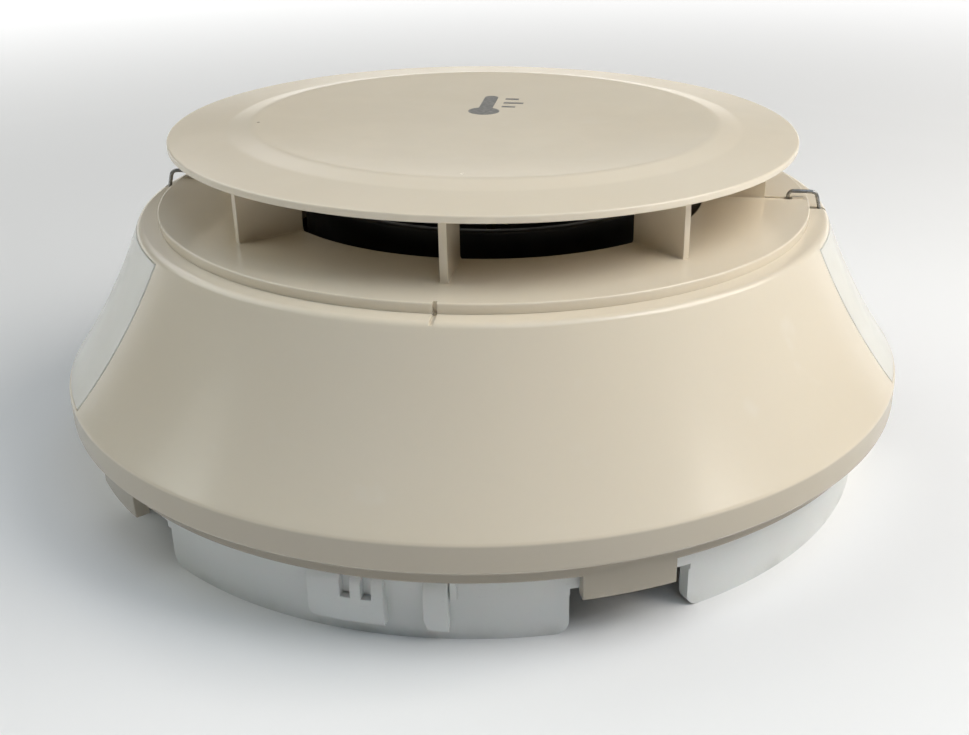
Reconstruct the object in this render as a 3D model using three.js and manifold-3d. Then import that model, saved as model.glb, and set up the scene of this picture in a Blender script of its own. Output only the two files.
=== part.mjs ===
// A ceiling heat detector head, standing on its mounting side.
// A flared cover with two light windows carries a vaned air tray and a deflector disc. Under
// them are a black sensing chamber, a circuit board and a bayonet base with sprung contacts.
// Millimetres, +Z up, the mounting side at z = 0, the front at -Y. An azimuth is in degrees,
// from the front towards +X.

import * as THREE from "three";
import { mergeVertices } from "three/addons/utils/BufferGeometryUtils.js";
import Module from "manifold-3d";

const wasm = await Module();
wasm.setup();

// ---------------------------------------------------------------- driving dimensions

const GAP = 0.3; // clearance between pieces that meet
const SLIP = 0.4; // clearance round a piece that drops into another

const RIM_R = 56; // widest radius of the cover
const RIM_Z = 14.8; // height of the rim edge
const BAND_H = 3.3; // upright band under the rim edge
const COLLAR_R = 45.1; // top radius of the flared skirt
const COLLAR_Z = 34.4; // ledge on top of the skirt
const FLARE_R = 84; // hollow curve of the skirt
const COVER_WALL = 2;
const SEAT_R = 41.2; // bore of the ledge
const SEAT_T = 1.6;
const EDGE = 0.5; // broken edges

const BASE_R = 51.5; // bayonet wall, outside
const BASE_WALL = 1.7;
const BASE_STEP = 0.3; // the upper band of the bayonet wall stands out by this
const BASE_STEP_Z = 5.2;
const BASE_FLOOR_Z = 9;
const BASE_FLOOR_T = 2;
const LIP_Z = 8.9; // lower edge of the cover's inner wall
const LIP_WALL = 1.7;

const KEY_COUNT = 5; // gaps round the bayonet wall
const KEY_AZIMUTH = 24.6; // middle of the first gap
const KEY_WIDTH = 15.9; // degrees
const KEY_TOP = 6;
const KEY_CORNER = 1.5;
const TAB_LEAD = 1.25; // a cover tab sits this far off the middle of its gap, in degrees
const TAB_WIDTH = 11.5; // degrees
const TAB_BOTTOM = 5.9;

const TRAY_R = 42.7; // rim of the air tray
const TRAY_T = 1.4;
const TRAY_STEP = 1.2; // the tray floor above the ledge
const TRAY_HOLE_R = 28.5;
const TRAY_COLLAR = 1.2; // wall round the hole
const VANE_COUNT = 8;
const VANE_OUT = 36.9; // outer end of a vane
const VANE_T = 0.9;
const VANE_H = 7.6;
const NOTCH_W = 0.7; // index notch at the front

const DISC_R = 40.6;
const DISC_T = 0.85; // at the edge
const DISC_CREST_R = 30.2;
const DISC_CREST = 1.05; // crest above the edge
const DISC_FLAT_R = 33.3;
const DISC_DISH = 0.7; // middle below the crest

const WINDOW_AZIMUTH = 100; // the other window faces it
const WINDOW_HALF = 22.4; // half the window's width
const WINDOW_PROUD = 0.2;
const WINDOW_FOOT = 0.5; // window edge above the rim edge
const WINDOW_HEAD = 0.9; // window edge below the ledge

const WIRE_R = 0.25;
const WIRE_AZIMUTH = 90;
const WIRE_OUT = 44.3; // outer leg
const WIRE_IN = 40; // inner leg
const WIRE_RISE = 1; // top of the loop above the tray floor

const CUP_CLEAR = 4; // air gap between the tray's hole and the sensing chamber
const CUP_WALL = 1.2;
const CUP_RISE = 1.8; // rim of the chamber above the tray floor
const CUP_HOLE_R = 2.5;

const BOARD_R = 46;
const BOARD_T = 1.6;
const BOARD_Z = 19;
const BOARD_ROOM = 7.8; // from the board to the collar under the tray

const BOSS_COUNT = 3;
const BOSS_AZIMUTH = 60;
const BOSS_PLACE = 35; // radius at which the screws stand
const BOSS_R = 3.2;
const SCREW_R = 1.25;
const SCREW_HEAD_R = 2.8;
const SCREW_HEAD_H = 1.8;

const CONTACT_COUNT = 4;
const CONTACT_AZIMUTH = 45;
const CONTACT_PLACE = 43; // radius at which the contacts stand
const CONTACT_W = 4;
const CONTACT_T = 0.5;
const CONTACT_LENGTH = 13;
const CONTACT_DROP = 3.7; // tip of the leaf below its root

const LUG_OUT = 1.2; // bayonet lugs beyond the wall
const LUG_FOOT = 2; // underside of a lug above the wall's edge
const LUG_HEAD = 7; // where the top of a lug starts to lean back
const LUG_ARCS = [0, 2, 3]; // the wall sections that carry lugs

const FINE = 84; // facets round a large ring
const COARSE = 24; // facets round a small cylinder

// ---------------------------------------------------------------- worked out from them

const TRAY_Z = COLLAR_Z + TRAY_STEP;
const VANE_TOP = TRAY_Z + VANE_H;
const DISC_Z = VANE_TOP + GAP;
const LIP_IN = BASE_R + BASE_STEP + 0.6;
const LIP_OUT = LIP_IN + LIP_WALL;
const BOARD_TOP = BOARD_Z + BOARD_T;
const TRAY_COLLAR_Z = BOARD_TOP + BOARD_ROOM;
const CUP_R = TRAY_HOLE_R - CUP_CLEAR;
const PARTS_Z = BOARD_TOP + GAP; // underside of what stands on the board
const BASE_TOP = BASE_FLOOR_Z + BASE_FLOOR_T;
const GASKET_T = 1;
const GASKET_Z = TRAY_COLLAR_Z - GAP - GASKET_T;
const CUP_FLOOR_T = CUP_WALL;
const CUP_FLOOR_Z = GASKET_Z - GAP - CUP_FLOOR_T;
const CUP_TOP = TRAY_Z + CUP_RISE;

// ---------------------------------------------------------------- shapes

const v2 = (r, z) => new THREE.Vector2(r, z);
const radians = THREE.MathUtils.degToRad;

// A closed profile of (radius, height) points, anticlockwise, turned about Z.
function revolved(profile, segments = FINE) {
  const closed = [...profile, profile[0]];
  return new THREE.LatheGeometry(closed, segments).rotateX(Math.PI / 2);
}

// A profile whose first and last points lie on the axis.
function revolvedSolid(profile, segments = FINE) {
  return new THREE.LatheGeometry(profile, segments).rotateX(Math.PI / 2);
}

function box(width, depth, bottom, top, x = 0, y = 0) {
  const block = new THREE.BoxGeometry(width, depth, top - bottom);
  return block.translate(x, y, (top + bottom) / 2);
}

function rod(radius, bottom, top, x = 0, y = 0, segments = COARSE) {
  const cylinder = new THREE.CylinderGeometry(radius, radius, top - bottom, segments);
  return cylinder.rotateX(Math.PI / 2).translate(x, y, (top + bottom) / 2);
}

// A length of ring between two radii, its middle at an azimuth.
function sector(inner, outer, bottom, top, middle, width) {
  const start = radians(middle - width / 2 - 90);
  const end = radians(middle + width / 2 - 90);
  const outline = new THREE.Shape();
  outline.absarc(0, 0, outer, start, end, false);
  outline.absarc(0, 0, inner, end, start, true);
  const curveSegments = Math.max(3, Math.ceil(width / 4));
  const settings = { depth: top - bottom, bevelEnabled: false, curveSegments };
  return new THREE.ExtrudeGeometry(outline, settings).translate(0, 0, bottom);
}

// A closed outline of (x, height) points, given a width across it, centred on the plane y = 0.
function plate(outline, width) {
  const settings = { depth: width, bevelEnabled: false };
  const sheet = new THREE.ExtrudeGeometry(new THREE.Shape(outline), settings);
  return sheet.translate(0, 0, -width / 2).rotateX(Math.PI / 2);
}

// What is drawn at the front is carried round to an azimuth.
const turned = (geometry, azimuth) => geometry.rotateZ(radians(azimuth));

function around(count, first) {
  return Array.from({ length: count }, (_, i) => first + (360 * i) / count);
}

function solid(geometry) {
  geometry.deleteAttribute("normal");
  geometry.deleteAttribute("uv");
  const { attributes, index } = mergeVertices(geometry, 1e-4);
  const vertProperties = attributes.position.array;
  const triVerts = new Uint32Array(index.array);
  return new wasm.Manifold(new wasm.Mesh({ numProp: 3, vertProperties, triVerts }));
}

const join = (body, pieces) => pieces.reduce((whole, piece) => whole.add(solid(piece)), body);
const cut = (body, pieces) => pieces.reduce((rest, piece) => rest.subtract(solid(piece)), body);

// ---------------------------------------------------------------- materials

function material(color, roughness, metalness = 0) {
  return new THREE.MeshStandardMaterial({ color, roughness, metalness });
}

const cream = material(0xe3dccb, 0.35);
const white = material(0xd9d9d4, 0.45);
const frosted = material(0xe9e8e0, 0.3);
const black = material(0x151515, 0.5);
const rubber = material(0x222222, 0.8);
const steel = material(0x8a8a88, 0.3, 1);
const tinned = material(0xb9bab6, 0.35, 1);
const brass = material(0x9c8a4d, 0.4, 1);
const boardGreen = material(0x1d5a36, 0.5);
const resin = material(0x26241f, 0.4);
const ledClear = material(0xe8d9d0, 0.15);

const head = new THREE.Group();

function add(name, body, finish) {
  const { numProp, vertProperties, triVerts } = body.getMesh();
  const geometry = new THREE.BufferGeometry();
  const position = new THREE.BufferAttribute(new Float32Array(vertProperties), numProp);
  geometry.setAttribute("position", position);
  geometry.setIndex(new THREE.BufferAttribute(new Uint32Array(triVerts), 1));
  const mesh = new THREE.Mesh(geometry, finish);
  mesh.name = name;
  head.add(mesh);
}

// ---------------------------------------------------------------- cover and light windows

// The skirt is the hollow side of a circle through the rim edge and the collar's edge.
const RISE = COLLAR_Z - RIM_Z;
const RUN = RIM_R - COLLAR_R;
const CHORD = Math.hypot(RISE, RUN);
const FLARE_REACH = Math.sqrt(FLARE_R ** 2 - (CHORD / 2) ** 2);
const FLARE_CENTRE_R = (RIM_R + COLLAR_R) / 2 + (FLARE_REACH * RISE) / CHORD;
const FLARE_CENTRE_Z = (RIM_Z + COLLAR_Z) / 2 + (FLARE_REACH * RUN) / CHORD;

const skirtRadius = (z) => FLARE_CENTRE_R - Math.sqrt(FLARE_R ** 2 - (z - FLARE_CENTRE_Z) ** 2);

// The outside of the skirt from one height up to another, moved out by an amount.
function skirt(out, count, foot, crown) {
  const points = [];
  for (let i = 0; i <= count; i++) {
    const z = foot + ((crown - foot) * i) / count;
    points.push(v2(skirtRadius(z) + out, z));
  }
  return points;
}

const WINDOW_Z0 = RIM_Z + WINDOW_FOOT;
const WINDOW_Z1 = COLLAR_Z - WINDOW_HEAD;
const WINDOW_AZIMUTHS = [WINDOW_AZIMUTH, WINDOW_AZIMUTH + 180];
const WIRE_AZIMUTHS = [WIRE_AZIMUTH, WIRE_AZIMUTH + 180];

function wireSlots() {
  const length = COLLAR_R + EDGE - TRAY_R;
  const place = (COLLAR_R + EDGE + TRAY_R) / 2;
  const bottom = COLLAR_Z - SEAT_T - 1.2;
  return WIRE_AZIMUTHS.map((azimuth) =>
    turned(box(4 * WIRE_R, length, bottom, COLLAR_Z + 1, 0, -place), azimuth));
}

function coverBody() {
  const outside = [
    v2(LIP_IN, LIP_Z),
    v2(LIP_OUT, LIP_Z),
    v2(LIP_OUT, RIM_Z - BAND_H - EDGE),
    v2(RIM_R - EDGE, RIM_Z - BAND_H - EDGE),
    v2(RIM_R, RIM_Z - BAND_H),
    ...skirt(0, 10, RIM_Z, COLLAR_Z - EDGE),
    v2(COLLAR_R - EDGE, COLLAR_Z),
    v2(SEAT_R, COLLAR_Z),
    v2(SEAT_R, COLLAR_Z - SEAT_T),
  ];
  const inside = skirt(-COVER_WALL, 6, RIM_Z, COLLAR_Z - SEAT_T).reverse();
  const shelf = [v2(RIM_R - COVER_WALL, RIM_Z - 2), v2(LIP_IN, RIM_Z - 2)];
  const shell = solid(revolved([...outside, ...inside, ...shelf]));
  const tabs = around(KEY_COUNT, KEY_AZIMUTH - TAB_LEAD).map((azimuth) =>
    sector(LIP_IN, LIP_OUT, TAB_BOTTOM, LIP_Z + 1, azimuth, TAB_WIDTH));
  const notch = box(NOTCH_W, 4, COLLAR_Z - 0.5, COLLAR_Z + 1, 0, -COLLAR_R + 1.4);
  return cut(join(shell, tabs), [...windowOpenings(), ...wireSlots(), notch]);
}

// The skirt between two parallel planes, taken a clearance larger than the window.
function windowOpenings() {
  const reach = 20;
  const depth = RIM_R + 2 - reach;
  return WINDOW_AZIMUTHS.map((azimuth) => {
    const inner = skirt(-COVER_WALL - 1, 8, WINDOW_Z0 - GAP, WINDOW_Z1 + GAP);
    const ring = solid(revolved([
      inner[0],
      v2(RIM_R + 1, WINDOW_Z0 - GAP),
      v2(RIM_R + 1, WINDOW_Z1 + GAP),
      ...inner.slice(1).reverse(),
    ]));
    const slab = box(2 * (WINDOW_HALF + GAP), depth, 0, 2 * COLLAR_Z, 0, -reach - depth / 2);
    return fromSolid(ring.intersect(solid(turned(slab, azimuth))));
  });
}

function fromSolid(body) {
  const { vertProperties, triVerts } = body.getMesh();
  const geometry = new THREE.BufferGeometry();
  const position = new THREE.BufferAttribute(new Float32Array(vertProperties), 3);
  geometry.setAttribute("position", position);
  geometry.setIndex(new THREE.BufferAttribute(new Uint32Array(triVerts), 1));
  return geometry;
}

const LED_H = 1.7;
const LED_PLACE = 41;
const GUIDE_Z = PARTS_Z + LED_H + GAP;
const GUIDE_T = 3.5;

function lightGuide(azimuth) {
  const outer = skirt(WINDOW_PROUD, 8, WINDOW_Z0, WINDOW_Z1);
  const inner = skirt(GAP - COVER_WALL, 8, WINDOW_Z0, WINDOW_Z1);
  const ring = solid(revolved([...outer, ...inner.reverse()]));
  const depth = RIM_R + 2;
  const slab = box(2 * WINDOW_HALF, depth, 0, 2 * COLLAR_Z, 0, -depth / 2 - 1);
  const pane = ring.intersect(solid(turned(slab, azimuth)));
  const armIn = LED_PLACE - 2;
  const armOut = skirtRadius(GUIDE_Z + GUIDE_T) - COVER_WALL / 2;
  const arm = box(4, armOut - armIn, GUIDE_Z, GUIDE_Z + GUIDE_T, 0, -(armOut + armIn) / 2);
  return cut(join(pane, [turned(arm, azimuth)]), wireSlots());
}

add("outer_cover", coverBody(), cream);
add("light_guide_right", lightGuide(WINDOW_AZIMUTHS[0]), frosted);
add("light_guide_left", lightGuide(WINDOW_AZIMUTHS[1]), frosted);

// ---------------------------------------------------------------- air tray and deflector disc

const PEG_L = 3;
const PEG_W = 0.8;
const PEG_H = 1;
const PEG_PLACE = (TRAY_HOLE_R + VANE_OUT) / 2 - EDGE;
const PEG_AZIMUTHS = around(VANE_COUNT / 2, 0);

function trayBody() {
  const under = TRAY_Z - TRAY_T;
  const spigot = SEAT_R - SLIP;
  const ring = solid(revolved([
    v2(TRAY_HOLE_R, TRAY_COLLAR_Z),
    v2(TRAY_HOLE_R + TRAY_COLLAR, TRAY_COLLAR_Z),
    v2(TRAY_HOLE_R + TRAY_COLLAR, under),
    v2(spigot - 1.4, under),
    v2(spigot - 1.4, COLLAR_Z - SEAT_T),
    v2(spigot, COLLAR_Z - SEAT_T),
    v2(spigot, COLLAR_Z + GAP),
    v2(TRAY_R, COLLAR_Z + GAP),
    v2(TRAY_R, TRAY_Z - GAP),
    v2(TRAY_R - GAP, TRAY_Z),
    v2(TRAY_HOLE_R + GAP, TRAY_Z),
    v2(TRAY_HOLE_R, TRAY_Z - GAP),
  ]));
  const length = VANE_OUT - TRAY_HOLE_R;
  const vanes = around(VANE_COUNT, 0).map((azimuth) =>
    turned(box(VANE_T, length, under, VANE_TOP, 0, -TRAY_HOLE_R - length / 2), azimuth));
  const pegs = PEG_AZIMUTHS.map((azimuth) =>
    turned(box(PEG_W, PEG_L, VANE_TOP - 1, VANE_TOP + PEG_H, 0, -PEG_PLACE), azimuth));
  const bosses = around(BOSS_COUNT, BOSS_AZIMUTH).map((azimuth) =>
    turned(rod(BOSS_R, BASE_TOP + SLIP, under + 0.5, 0, -BOSS_PLACE), azimuth));
  const ribLength = TRAY_R - VANE_OUT;
  const ribs = WIRE_AZIMUTHS.map((azimuth) => {
    const place = -VANE_OUT - ribLength / 2 + EDGE / 2;
    return turned(box(0.7, ribLength, COLLAR_Z + GAP, TRAY_Z + 0.25, 0, place), azimuth);
  });
  const body = join(ring, [...vanes, ...pegs, ...bosses, ...ribs]);
  const bores = around(BOSS_COUNT, BOSS_AZIMUTH).map((azimuth) =>
    turned(rod(SCREW_R + GAP, BASE_TOP, BASE_TOP + 13, 0, -BOSS_PLACE), azimuth));
  const wireHoles = WIRE_AZIMUTHS.map((azimuth) =>
    turned(box(1.1, 1.1, under - 3, TRAY_Z + 1, 0, -WIRE_IN), azimuth));
  const notch = box(NOTCH_W, 1.2, COLLAR_Z, TRAY_Z + 1, 0, -TRAY_R + 0.2);
  return cut(body, [...bores, ...wireHoles, notch]);
}

function discBody() {
  const edge = DISC_Z + DISC_T;
  const crest = edge + DISC_CREST;
  const dish = [];
  const steps = 8;
  for (let i = 0; i <= steps; i++) {
    const share = 1 - i / steps;
    dish.push(v2(DISC_CREST_R * share, crest - DISC_DISH * (1 - share ** 4)));
  }
  const body = solid(revolvedSolid([
    v2(0, DISC_Z),
    v2(DISC_R - GAP, DISC_Z),
    v2(DISC_R, DISC_Z + 0.25),
    v2(DISC_R - 0.1, edge - 0.25),
    v2(DISC_R - 0.6, edge),
    v2(DISC_FLAT_R, edge + DISC_CREST / 2),
    ...dish,
  ]));
  const pockets = PEG_AZIMUTHS.map((azimuth) => {
    const top = VANE_TOP + PEG_H + GAP;
    return turned(box(PEG_W + 2 * GAP, PEG_L + 2 * GAP, DISC_Z - 1, top, 0, -PEG_PLACE), azimuth);
  });
  return cut(body, pockets);
}

add("vane_tray", trayBody(), cream);
add("deflector_disc", discBody(), cream);

// ---------------------------------------------------------------- retaining wires

function wireLoop(azimuth) {
  const top = TRAY_Z + WIRE_RISE;
  const bend = 0.7;
  const point = (r, z) => new THREE.Vector3(0, -r, z);
  const route = new THREE.CurvePath();
  const outerFoot = point(WIRE_OUT, COLLAR_Z - SEAT_T - 0.6);
  const outerKnee = point(WIRE_OUT, COLLAR_Z);
  const outerTop = point(WIRE_OUT - 0.6, top);
  const innerTop = point(WIRE_IN, top);
  const innerFoot = point(WIRE_IN, TRAY_Z - TRAY_T - 0.6);
  const towards = (from, to) => from.clone().addScaledVector(to.clone().sub(from).normalize(), bend);
  const corner = (before, at, after) =>
    new THREE.QuadraticBezierCurve3(towards(at, before), at, towards(at, after));
  route.add(new THREE.LineCurve3(outerFoot, towards(outerKnee, outerFoot)));
  route.add(corner(outerFoot, outerKnee, outerTop));
  route.add(new THREE.LineCurve3(towards(outerKnee, outerTop), towards(outerTop, outerKnee)));
  route.add(corner(outerKnee, outerTop, innerTop));
  route.add(new THREE.LineCurve3(towards(outerTop, innerTop), towards(innerTop, outerTop)));
  route.add(corner(outerTop, innerTop, innerFoot));
  route.add(new THREE.LineCurve3(towards(innerTop, innerFoot), innerFoot));
  const section = new THREE.Shape().absarc(0, 0, WIRE_R, 0, 2 * Math.PI, false);
  const settings = { extrudePath: route, steps: 30, curveSegments: 4 };
  return solid(turned(new THREE.ExtrudeGeometry(section, settings), azimuth));
}

add("retaining_wire_right", wireLoop(WIRE_AZIMUTHS[0]), steel);
add("retaining_wire_left", wireLoop(WIRE_AZIMUTHS[1]), steel);

// ---------------------------------------------------------------- sensing chamber

function cupBody() {
  const flange = TRAY_HOLE_R + TRAY_COLLAR + 1.2;
  const inner = CUP_R - CUP_WALL;
  const floorTop = CUP_FLOOR_Z + CUP_FLOOR_T;
  const shell = solid(revolved([
    v2(CUP_HOLE_R, CUP_FLOOR_Z),
    v2(flange, CUP_FLOOR_Z),
    v2(flange, floorTop),
    v2(CUP_R, floorTop),
    v2(CUP_R, CUP_TOP - 0.2),
    v2(CUP_R - 0.2, CUP_TOP),
    v2(inner, CUP_TOP),
    v2(inner, floorTop),
    v2(CUP_HOLE_R, floorTop),
  ], 72));
  const legs = around(3, 0).map((azimuth) =>
    turned(rod(1.5, PARTS_Z, CUP_FLOOR_Z + 0.5, 0, 3 - flange), azimuth));
  return join(shell, legs);
}

const LEAD_R = 0.3;
const LEAD_X = 0.34;
const LEAD_TOP = 34;
const GROMMET_R = CUP_HOLE_R - GAP;

function grommetBody() {
  const seat = CUP_FLOOR_Z + CUP_FLOOR_T + GAP;
  const bore = LEAD_X + LEAD_R + GAP;
  return solid(revolved([
    v2(bore, CUP_FLOOR_Z),
    v2(GROMMET_R, CUP_FLOOR_Z),
    v2(GROMMET_R, seat),
    v2(GROMMET_R + 1.2, seat),
    v2(GROMMET_R + 1.2, seat + 0.6),
    v2(bore, seat + 0.6),
  ], COARSE));
}

function bead(radius, bottom, height, x, y) {
  const profile = [];
  const steps = 8;
  for (let i = 0; i <= steps; i++) {
    const angle = (Math.PI * i) / steps;
    profile.push(v2(radius * Math.sin(angle), bottom + (height * (1 - Math.cos(angle))) / 2));
  }
  profile[0].x = 0;
  profile[steps].x = 0;
  return solid(revolvedSolid(profile, COARSE).translate(x, y, 0));
}

function gasketBody() {
  const inner = TRAY_HOLE_R + 0.2;
  const outer = TRAY_HOLE_R + TRAY_COLLAR + 1;
  const low = GASKET_Z;
  const high = GASKET_Z + GASKET_T;
  return solid(revolved([v2(inner, low), v2(outer, low), v2(outer, high), v2(inner, high)], 72));
}

add("sensor_cup", cupBody(), black);
add("cup_gasket", gasketBody(), rubber);
add("lead_grommet", grommetBody(), rubber);
add("thermistor_lead_a", solid(rod(LEAD_R, BOARD_Z - 1, LEAD_TOP, -LEAD_X, 0, 10)), brass);
add("thermistor_lead_b", solid(rod(LEAD_R, BOARD_Z - 1, LEAD_TOP, LEAD_X, 0, 10)), brass);
add("thermistor_bead", bead(1.2, LEAD_TOP + GAP, 4, 0, 0), resin);

// ---------------------------------------------------------------- circuit board

const PIN = 1.2;
const PIN_X = 1.8; // the terminal pin beside the leaf's root

function pinHoles(bottom, top) {
  const size = PIN + 2 * GAP;
  return around(CONTACT_COUNT, CONTACT_AZIMUTH).map((azimuth) =>
    turned(box(size, size, bottom, top, PIN_X, -CONTACT_PLACE), azimuth));
}

function boardBody() {
  const disc = solid(rod(BOARD_R, BOARD_Z, BOARD_TOP, 0, 0, 72));
  const leadHole = rod(LEAD_X + LEAD_R + GAP, BOARD_Z - 1, BOARD_TOP + 1);
  const bossHoles = around(BOSS_COUNT, BOSS_AZIMUTH).map((azimuth) =>
    turned(rod(BOSS_R + SLIP, BOARD_Z - 1, BOARD_TOP + 1, 0, -BOSS_PLACE), azimuth));
  return cut(disc, [leadHole, ...bossHoles, ...pinHoles(BOARD_Z - 1, BOARD_TOP + 1)]);
}

// A part that stands on the board, given its size and its place there.
function onBoard(name, width, depth, height, azimuth, place, finish) {
  const block = box(width, depth, PARTS_Z, PARTS_Z + height, 0, -place);
  add(name, solid(turned(block, azimuth)), finish);
}

function canOnBoard(name, radius, height, azimuth, place, finish) {
  const can = rod(radius, PARTS_Z, PARTS_Z + height, 0, -place);
  add(name, solid(turned(can, azimuth)), finish);
}

function shieldBody(width, depth, height, azimuth, place) {
  const wall = 0.4;
  const outside = box(width, depth, PARTS_Z, PARTS_Z + height, 0, -place);
  const inside = box(width - 2 * wall, depth - 2 * wall, PARTS_Z - 1,
    PARTS_Z + height - wall, 0, -place);
  return cut(solid(turned(outside, azimuth)), [turned(inside, azimuth)]);
}

add("circuit_board", boardBody(), boardGreen);
onBoard("processor_chip", 7, 7, 1.2, 180, 9, resin);
add("shield_can", shieldBody(12, 11, 3, 180, 9), tinned);
onBoard("bus_driver_chip", 6, 5, 1.6, 90, 12, resin);
onBoard("crystal", 5, 3.2, 1.3, 270, 12, tinned);
onBoard("rectifier", 6.5, 5, 2.6, 210, 37, resin);
onBoard("filter_capacitor", 7.3, 4.3, 2.9, 340, 37, brass);
canOnBoard("storage_capacitor", 3.2, 7, 20, TRAY_HOLE_R + 9, steel);
canOnBoard("bus_inductor", 4, 4, 150, 37, resin);
add("reference_thermistor", bead(1, PARTS_Z, 2.4, 0, -40), resin);
onBoard("led_right", 3.2, 2.8, LED_H, WINDOW_AZIMUTHS[0], LED_PLACE, ledClear);
onBoard("led_left", 3.2, 2.8, LED_H, WINDOW_AZIMUTHS[1], LED_PLACE, ledClear);

// ---------------------------------------------------------------- bayonet base

// The outside corner of a wall section's end, to be taken off round.
function endCorner(azimuth, side) {
  const r = KEY_CORNER;
  const place = -BASE_R + BASE_WALL / 2;
  const depth = BASE_WALL + 2;
  const block = solid(box(r + 0.5, depth, -0.5, r, side * (r - 0.5) / 2, place));
  const bar = new THREE.CylinderGeometry(r, r, depth + 1, COARSE).translate(side * r, place, r);
  return fromSolid(block.subtract(solid(bar))).rotateZ(radians(azimuth));
}

// One set of lugs: a broad block with two slots, and a narrow nub beside it.
function lugSet(azimuth) {
  const inner = BASE_R - 0.5;
  const outer = BASE_R + LUG_OUT;
  const head = LIP_Z - GAP;
  const block = sector(inner, outer, LUG_FOOT, head, azimuth - 10.1, 9.7);
  const nub = sector(inner, outer, LUG_FOOT - 0.3, head, azimuth + 0.8, 3);
  const slots = [-10, -7.4].map((offset) =>
    sector(BASE_R + BASE_STEP, outer + 1, LUG_HEAD - 2, head + 1, azimuth + offset, 1.2));
  return cut(join(solid(block), [nub]), slots);
}

function lugLean() {
  const outer = BASE_R + LUG_OUT;
  return revolved([
    v2(outer, LUG_HEAD),
    v2(outer + 1, LUG_HEAD),
    v2(outer + 1, LIP_Z + 1),
    v2(BASE_R + BASE_STEP, LIP_Z + 1),
    v2(BASE_R + BASE_STEP, LIP_Z - GAP),
  ]);
}

function baseBody() {
  const inner = BASE_R - BASE_WALL;
  const band = BASE_R + BASE_STEP;
  const shell = solid(revolvedSolid([
    v2(0, BASE_FLOOR_Z),
    v2(inner, BASE_FLOOR_Z),
    v2(inner, 0),
    v2(BASE_R, 0),
    v2(BASE_R, BASE_STEP_Z),
    v2(band, BASE_STEP_Z),
    v2(band, BASE_TOP),
    v2(0, BASE_TOP),
  ]));
  const gaps = around(KEY_COUNT, KEY_AZIMUTH).map((azimuth) =>
    sector(inner - 1, band + 1, -1, KEY_TOP, azimuth, KEY_WIDTH));
  const corners = around(KEY_COUNT, KEY_AZIMUTH).flatMap((azimuth) => [
    endCorner(azimuth + KEY_WIDTH / 2, 1),
    endCorner(azimuth - KEY_WIDTH / 2, -1),
  ]);
  const standoffs = around(4, 15).map((azimuth) =>
    turned(rod(2, BASE_TOP - 0.5, BOARD_Z - GAP, 0, -41.5), azimuth));
  const ribs = [12, 30].map((r) => {
    const low = BASE_FLOOR_Z - 1.2;
    const high = BASE_FLOOR_Z + 0.5;
    return revolved([v2(r, low), v2(r + 1.2, low), v2(r + 1.2, high), v2(r, high)], 72);
  });
  let body = cut(join(shell, [...standoffs, ...ribs]), [...gaps, ...corners]);
  for (const arcIndex of LUG_ARCS) {
    body = body.add(cut(lugSet((360 * arcIndex) / KEY_COUNT), [lugLean()]));
  }
  const screwHoles = around(BOSS_COUNT, BOSS_AZIMUTH).map((azimuth) =>
    turned(rod(SCREW_R + GAP, BASE_FLOOR_Z - 1, BASE_TOP + 1, 0, -BOSS_PLACE), azimuth));
  return cut(body, [...screwHoles, ...pinHoles(BASE_FLOOR_Z - 1, BASE_TOP + 1)]);
}

function screwBody(azimuth) {
  const seat = BASE_FLOOR_Z - GAP;
  const low = seat - SCREW_HEAD_H;
  const tip = BASE_TOP + 9;
  const body = solid(revolvedSolid([
    v2(0, low),
    v2(SCREW_HEAD_R - 0.6, low),
    v2(SCREW_HEAD_R, low + 0.6),
    v2(SCREW_HEAD_R, seat),
    v2(SCREW_R, seat),
    v2(SCREW_R, tip - 1),
    v2(0, tip),
  ], COARSE).translate(0, -BOSS_PLACE, 0).rotateZ(radians(azimuth)));
  const recess = [[3.2, 0.8], [0.8, 3.2]].map(([width, depth]) =>
    turned(box(width, depth, low - 1, low + 1, 0, -BOSS_PLACE), azimuth));
  return cut(body, recess);
}

add("base_body", baseBody(), white);
around(BOSS_COUNT, BOSS_AZIMUTH).forEach((azimuth, i) => {
  add(`base_screw_${i + 1}`, screwBody(azimuth), steel);
});

// ---------------------------------------------------------------- contacts

const PAD_L = 3.6;
const PAD_T = 0.6;
const PAD_Z = BASE_FLOOR_Z - GAP - PAD_T;
const LEAF_Z = PAD_Z - GAP - CONTACT_T; // underside of the leaf at its root

function terminalBody(azimuth) {
  const pad = box(PAD_L, CONTACT_W, PAD_Z, PAD_Z + PAD_T, PAD_L / 2, -CONTACT_PLACE);
  const pin = box(PIN, PIN, PAD_Z, BOARD_TOP + 1.4, PIN_X, -CONTACT_PLACE);
  return join(solid(turned(pad, azimuth)), [turned(pin, azimuth)]);
}

// A leaf that runs flat under its pad, slopes down and turns up at the tip.
function springBody(azimuth) {
  const under = [];
  const steps = 10;
  const tip = -CONTACT_LENGTH;
  under.push(v2(PAD_L - 0.2, LEAF_Z));
  for (let i = 0; i <= steps; i++) {
    const share = i / steps;
    const drop = CONTACT_DROP * Math.sin((share * 1.15 * Math.PI) / 2);
    under.push(v2(tip * share, LEAF_Z - drop));
  }
  const top = under.map((p) => v2(p.x, p.y + CONTACT_T)).reverse();
  const leaf = plate([...under, ...top], CONTACT_W);
  return solid(turned(leaf.translate(0, -CONTACT_PLACE, 0), azimuth));
}

around(CONTACT_COUNT, CONTACT_AZIMUTH).forEach((azimuth, i) => {
  add(`contact_terminal_${i + 1}`, terminalBody(azimuth), tinned);
  add(`contact_spring_${i + 1}`, springBody(azimuth), brass);
});

export default head;
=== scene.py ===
"""The looks of a heat detector head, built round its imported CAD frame.

The axes have +Z up and the front at -Y. An azimuth is in degrees, from the front towards +X.
Lengths are in millimetres, and MM turns them into metres. Settings of shaders, lights and the
camera, and what a name ending in _m holds, are in metres.
"""

import math

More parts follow.
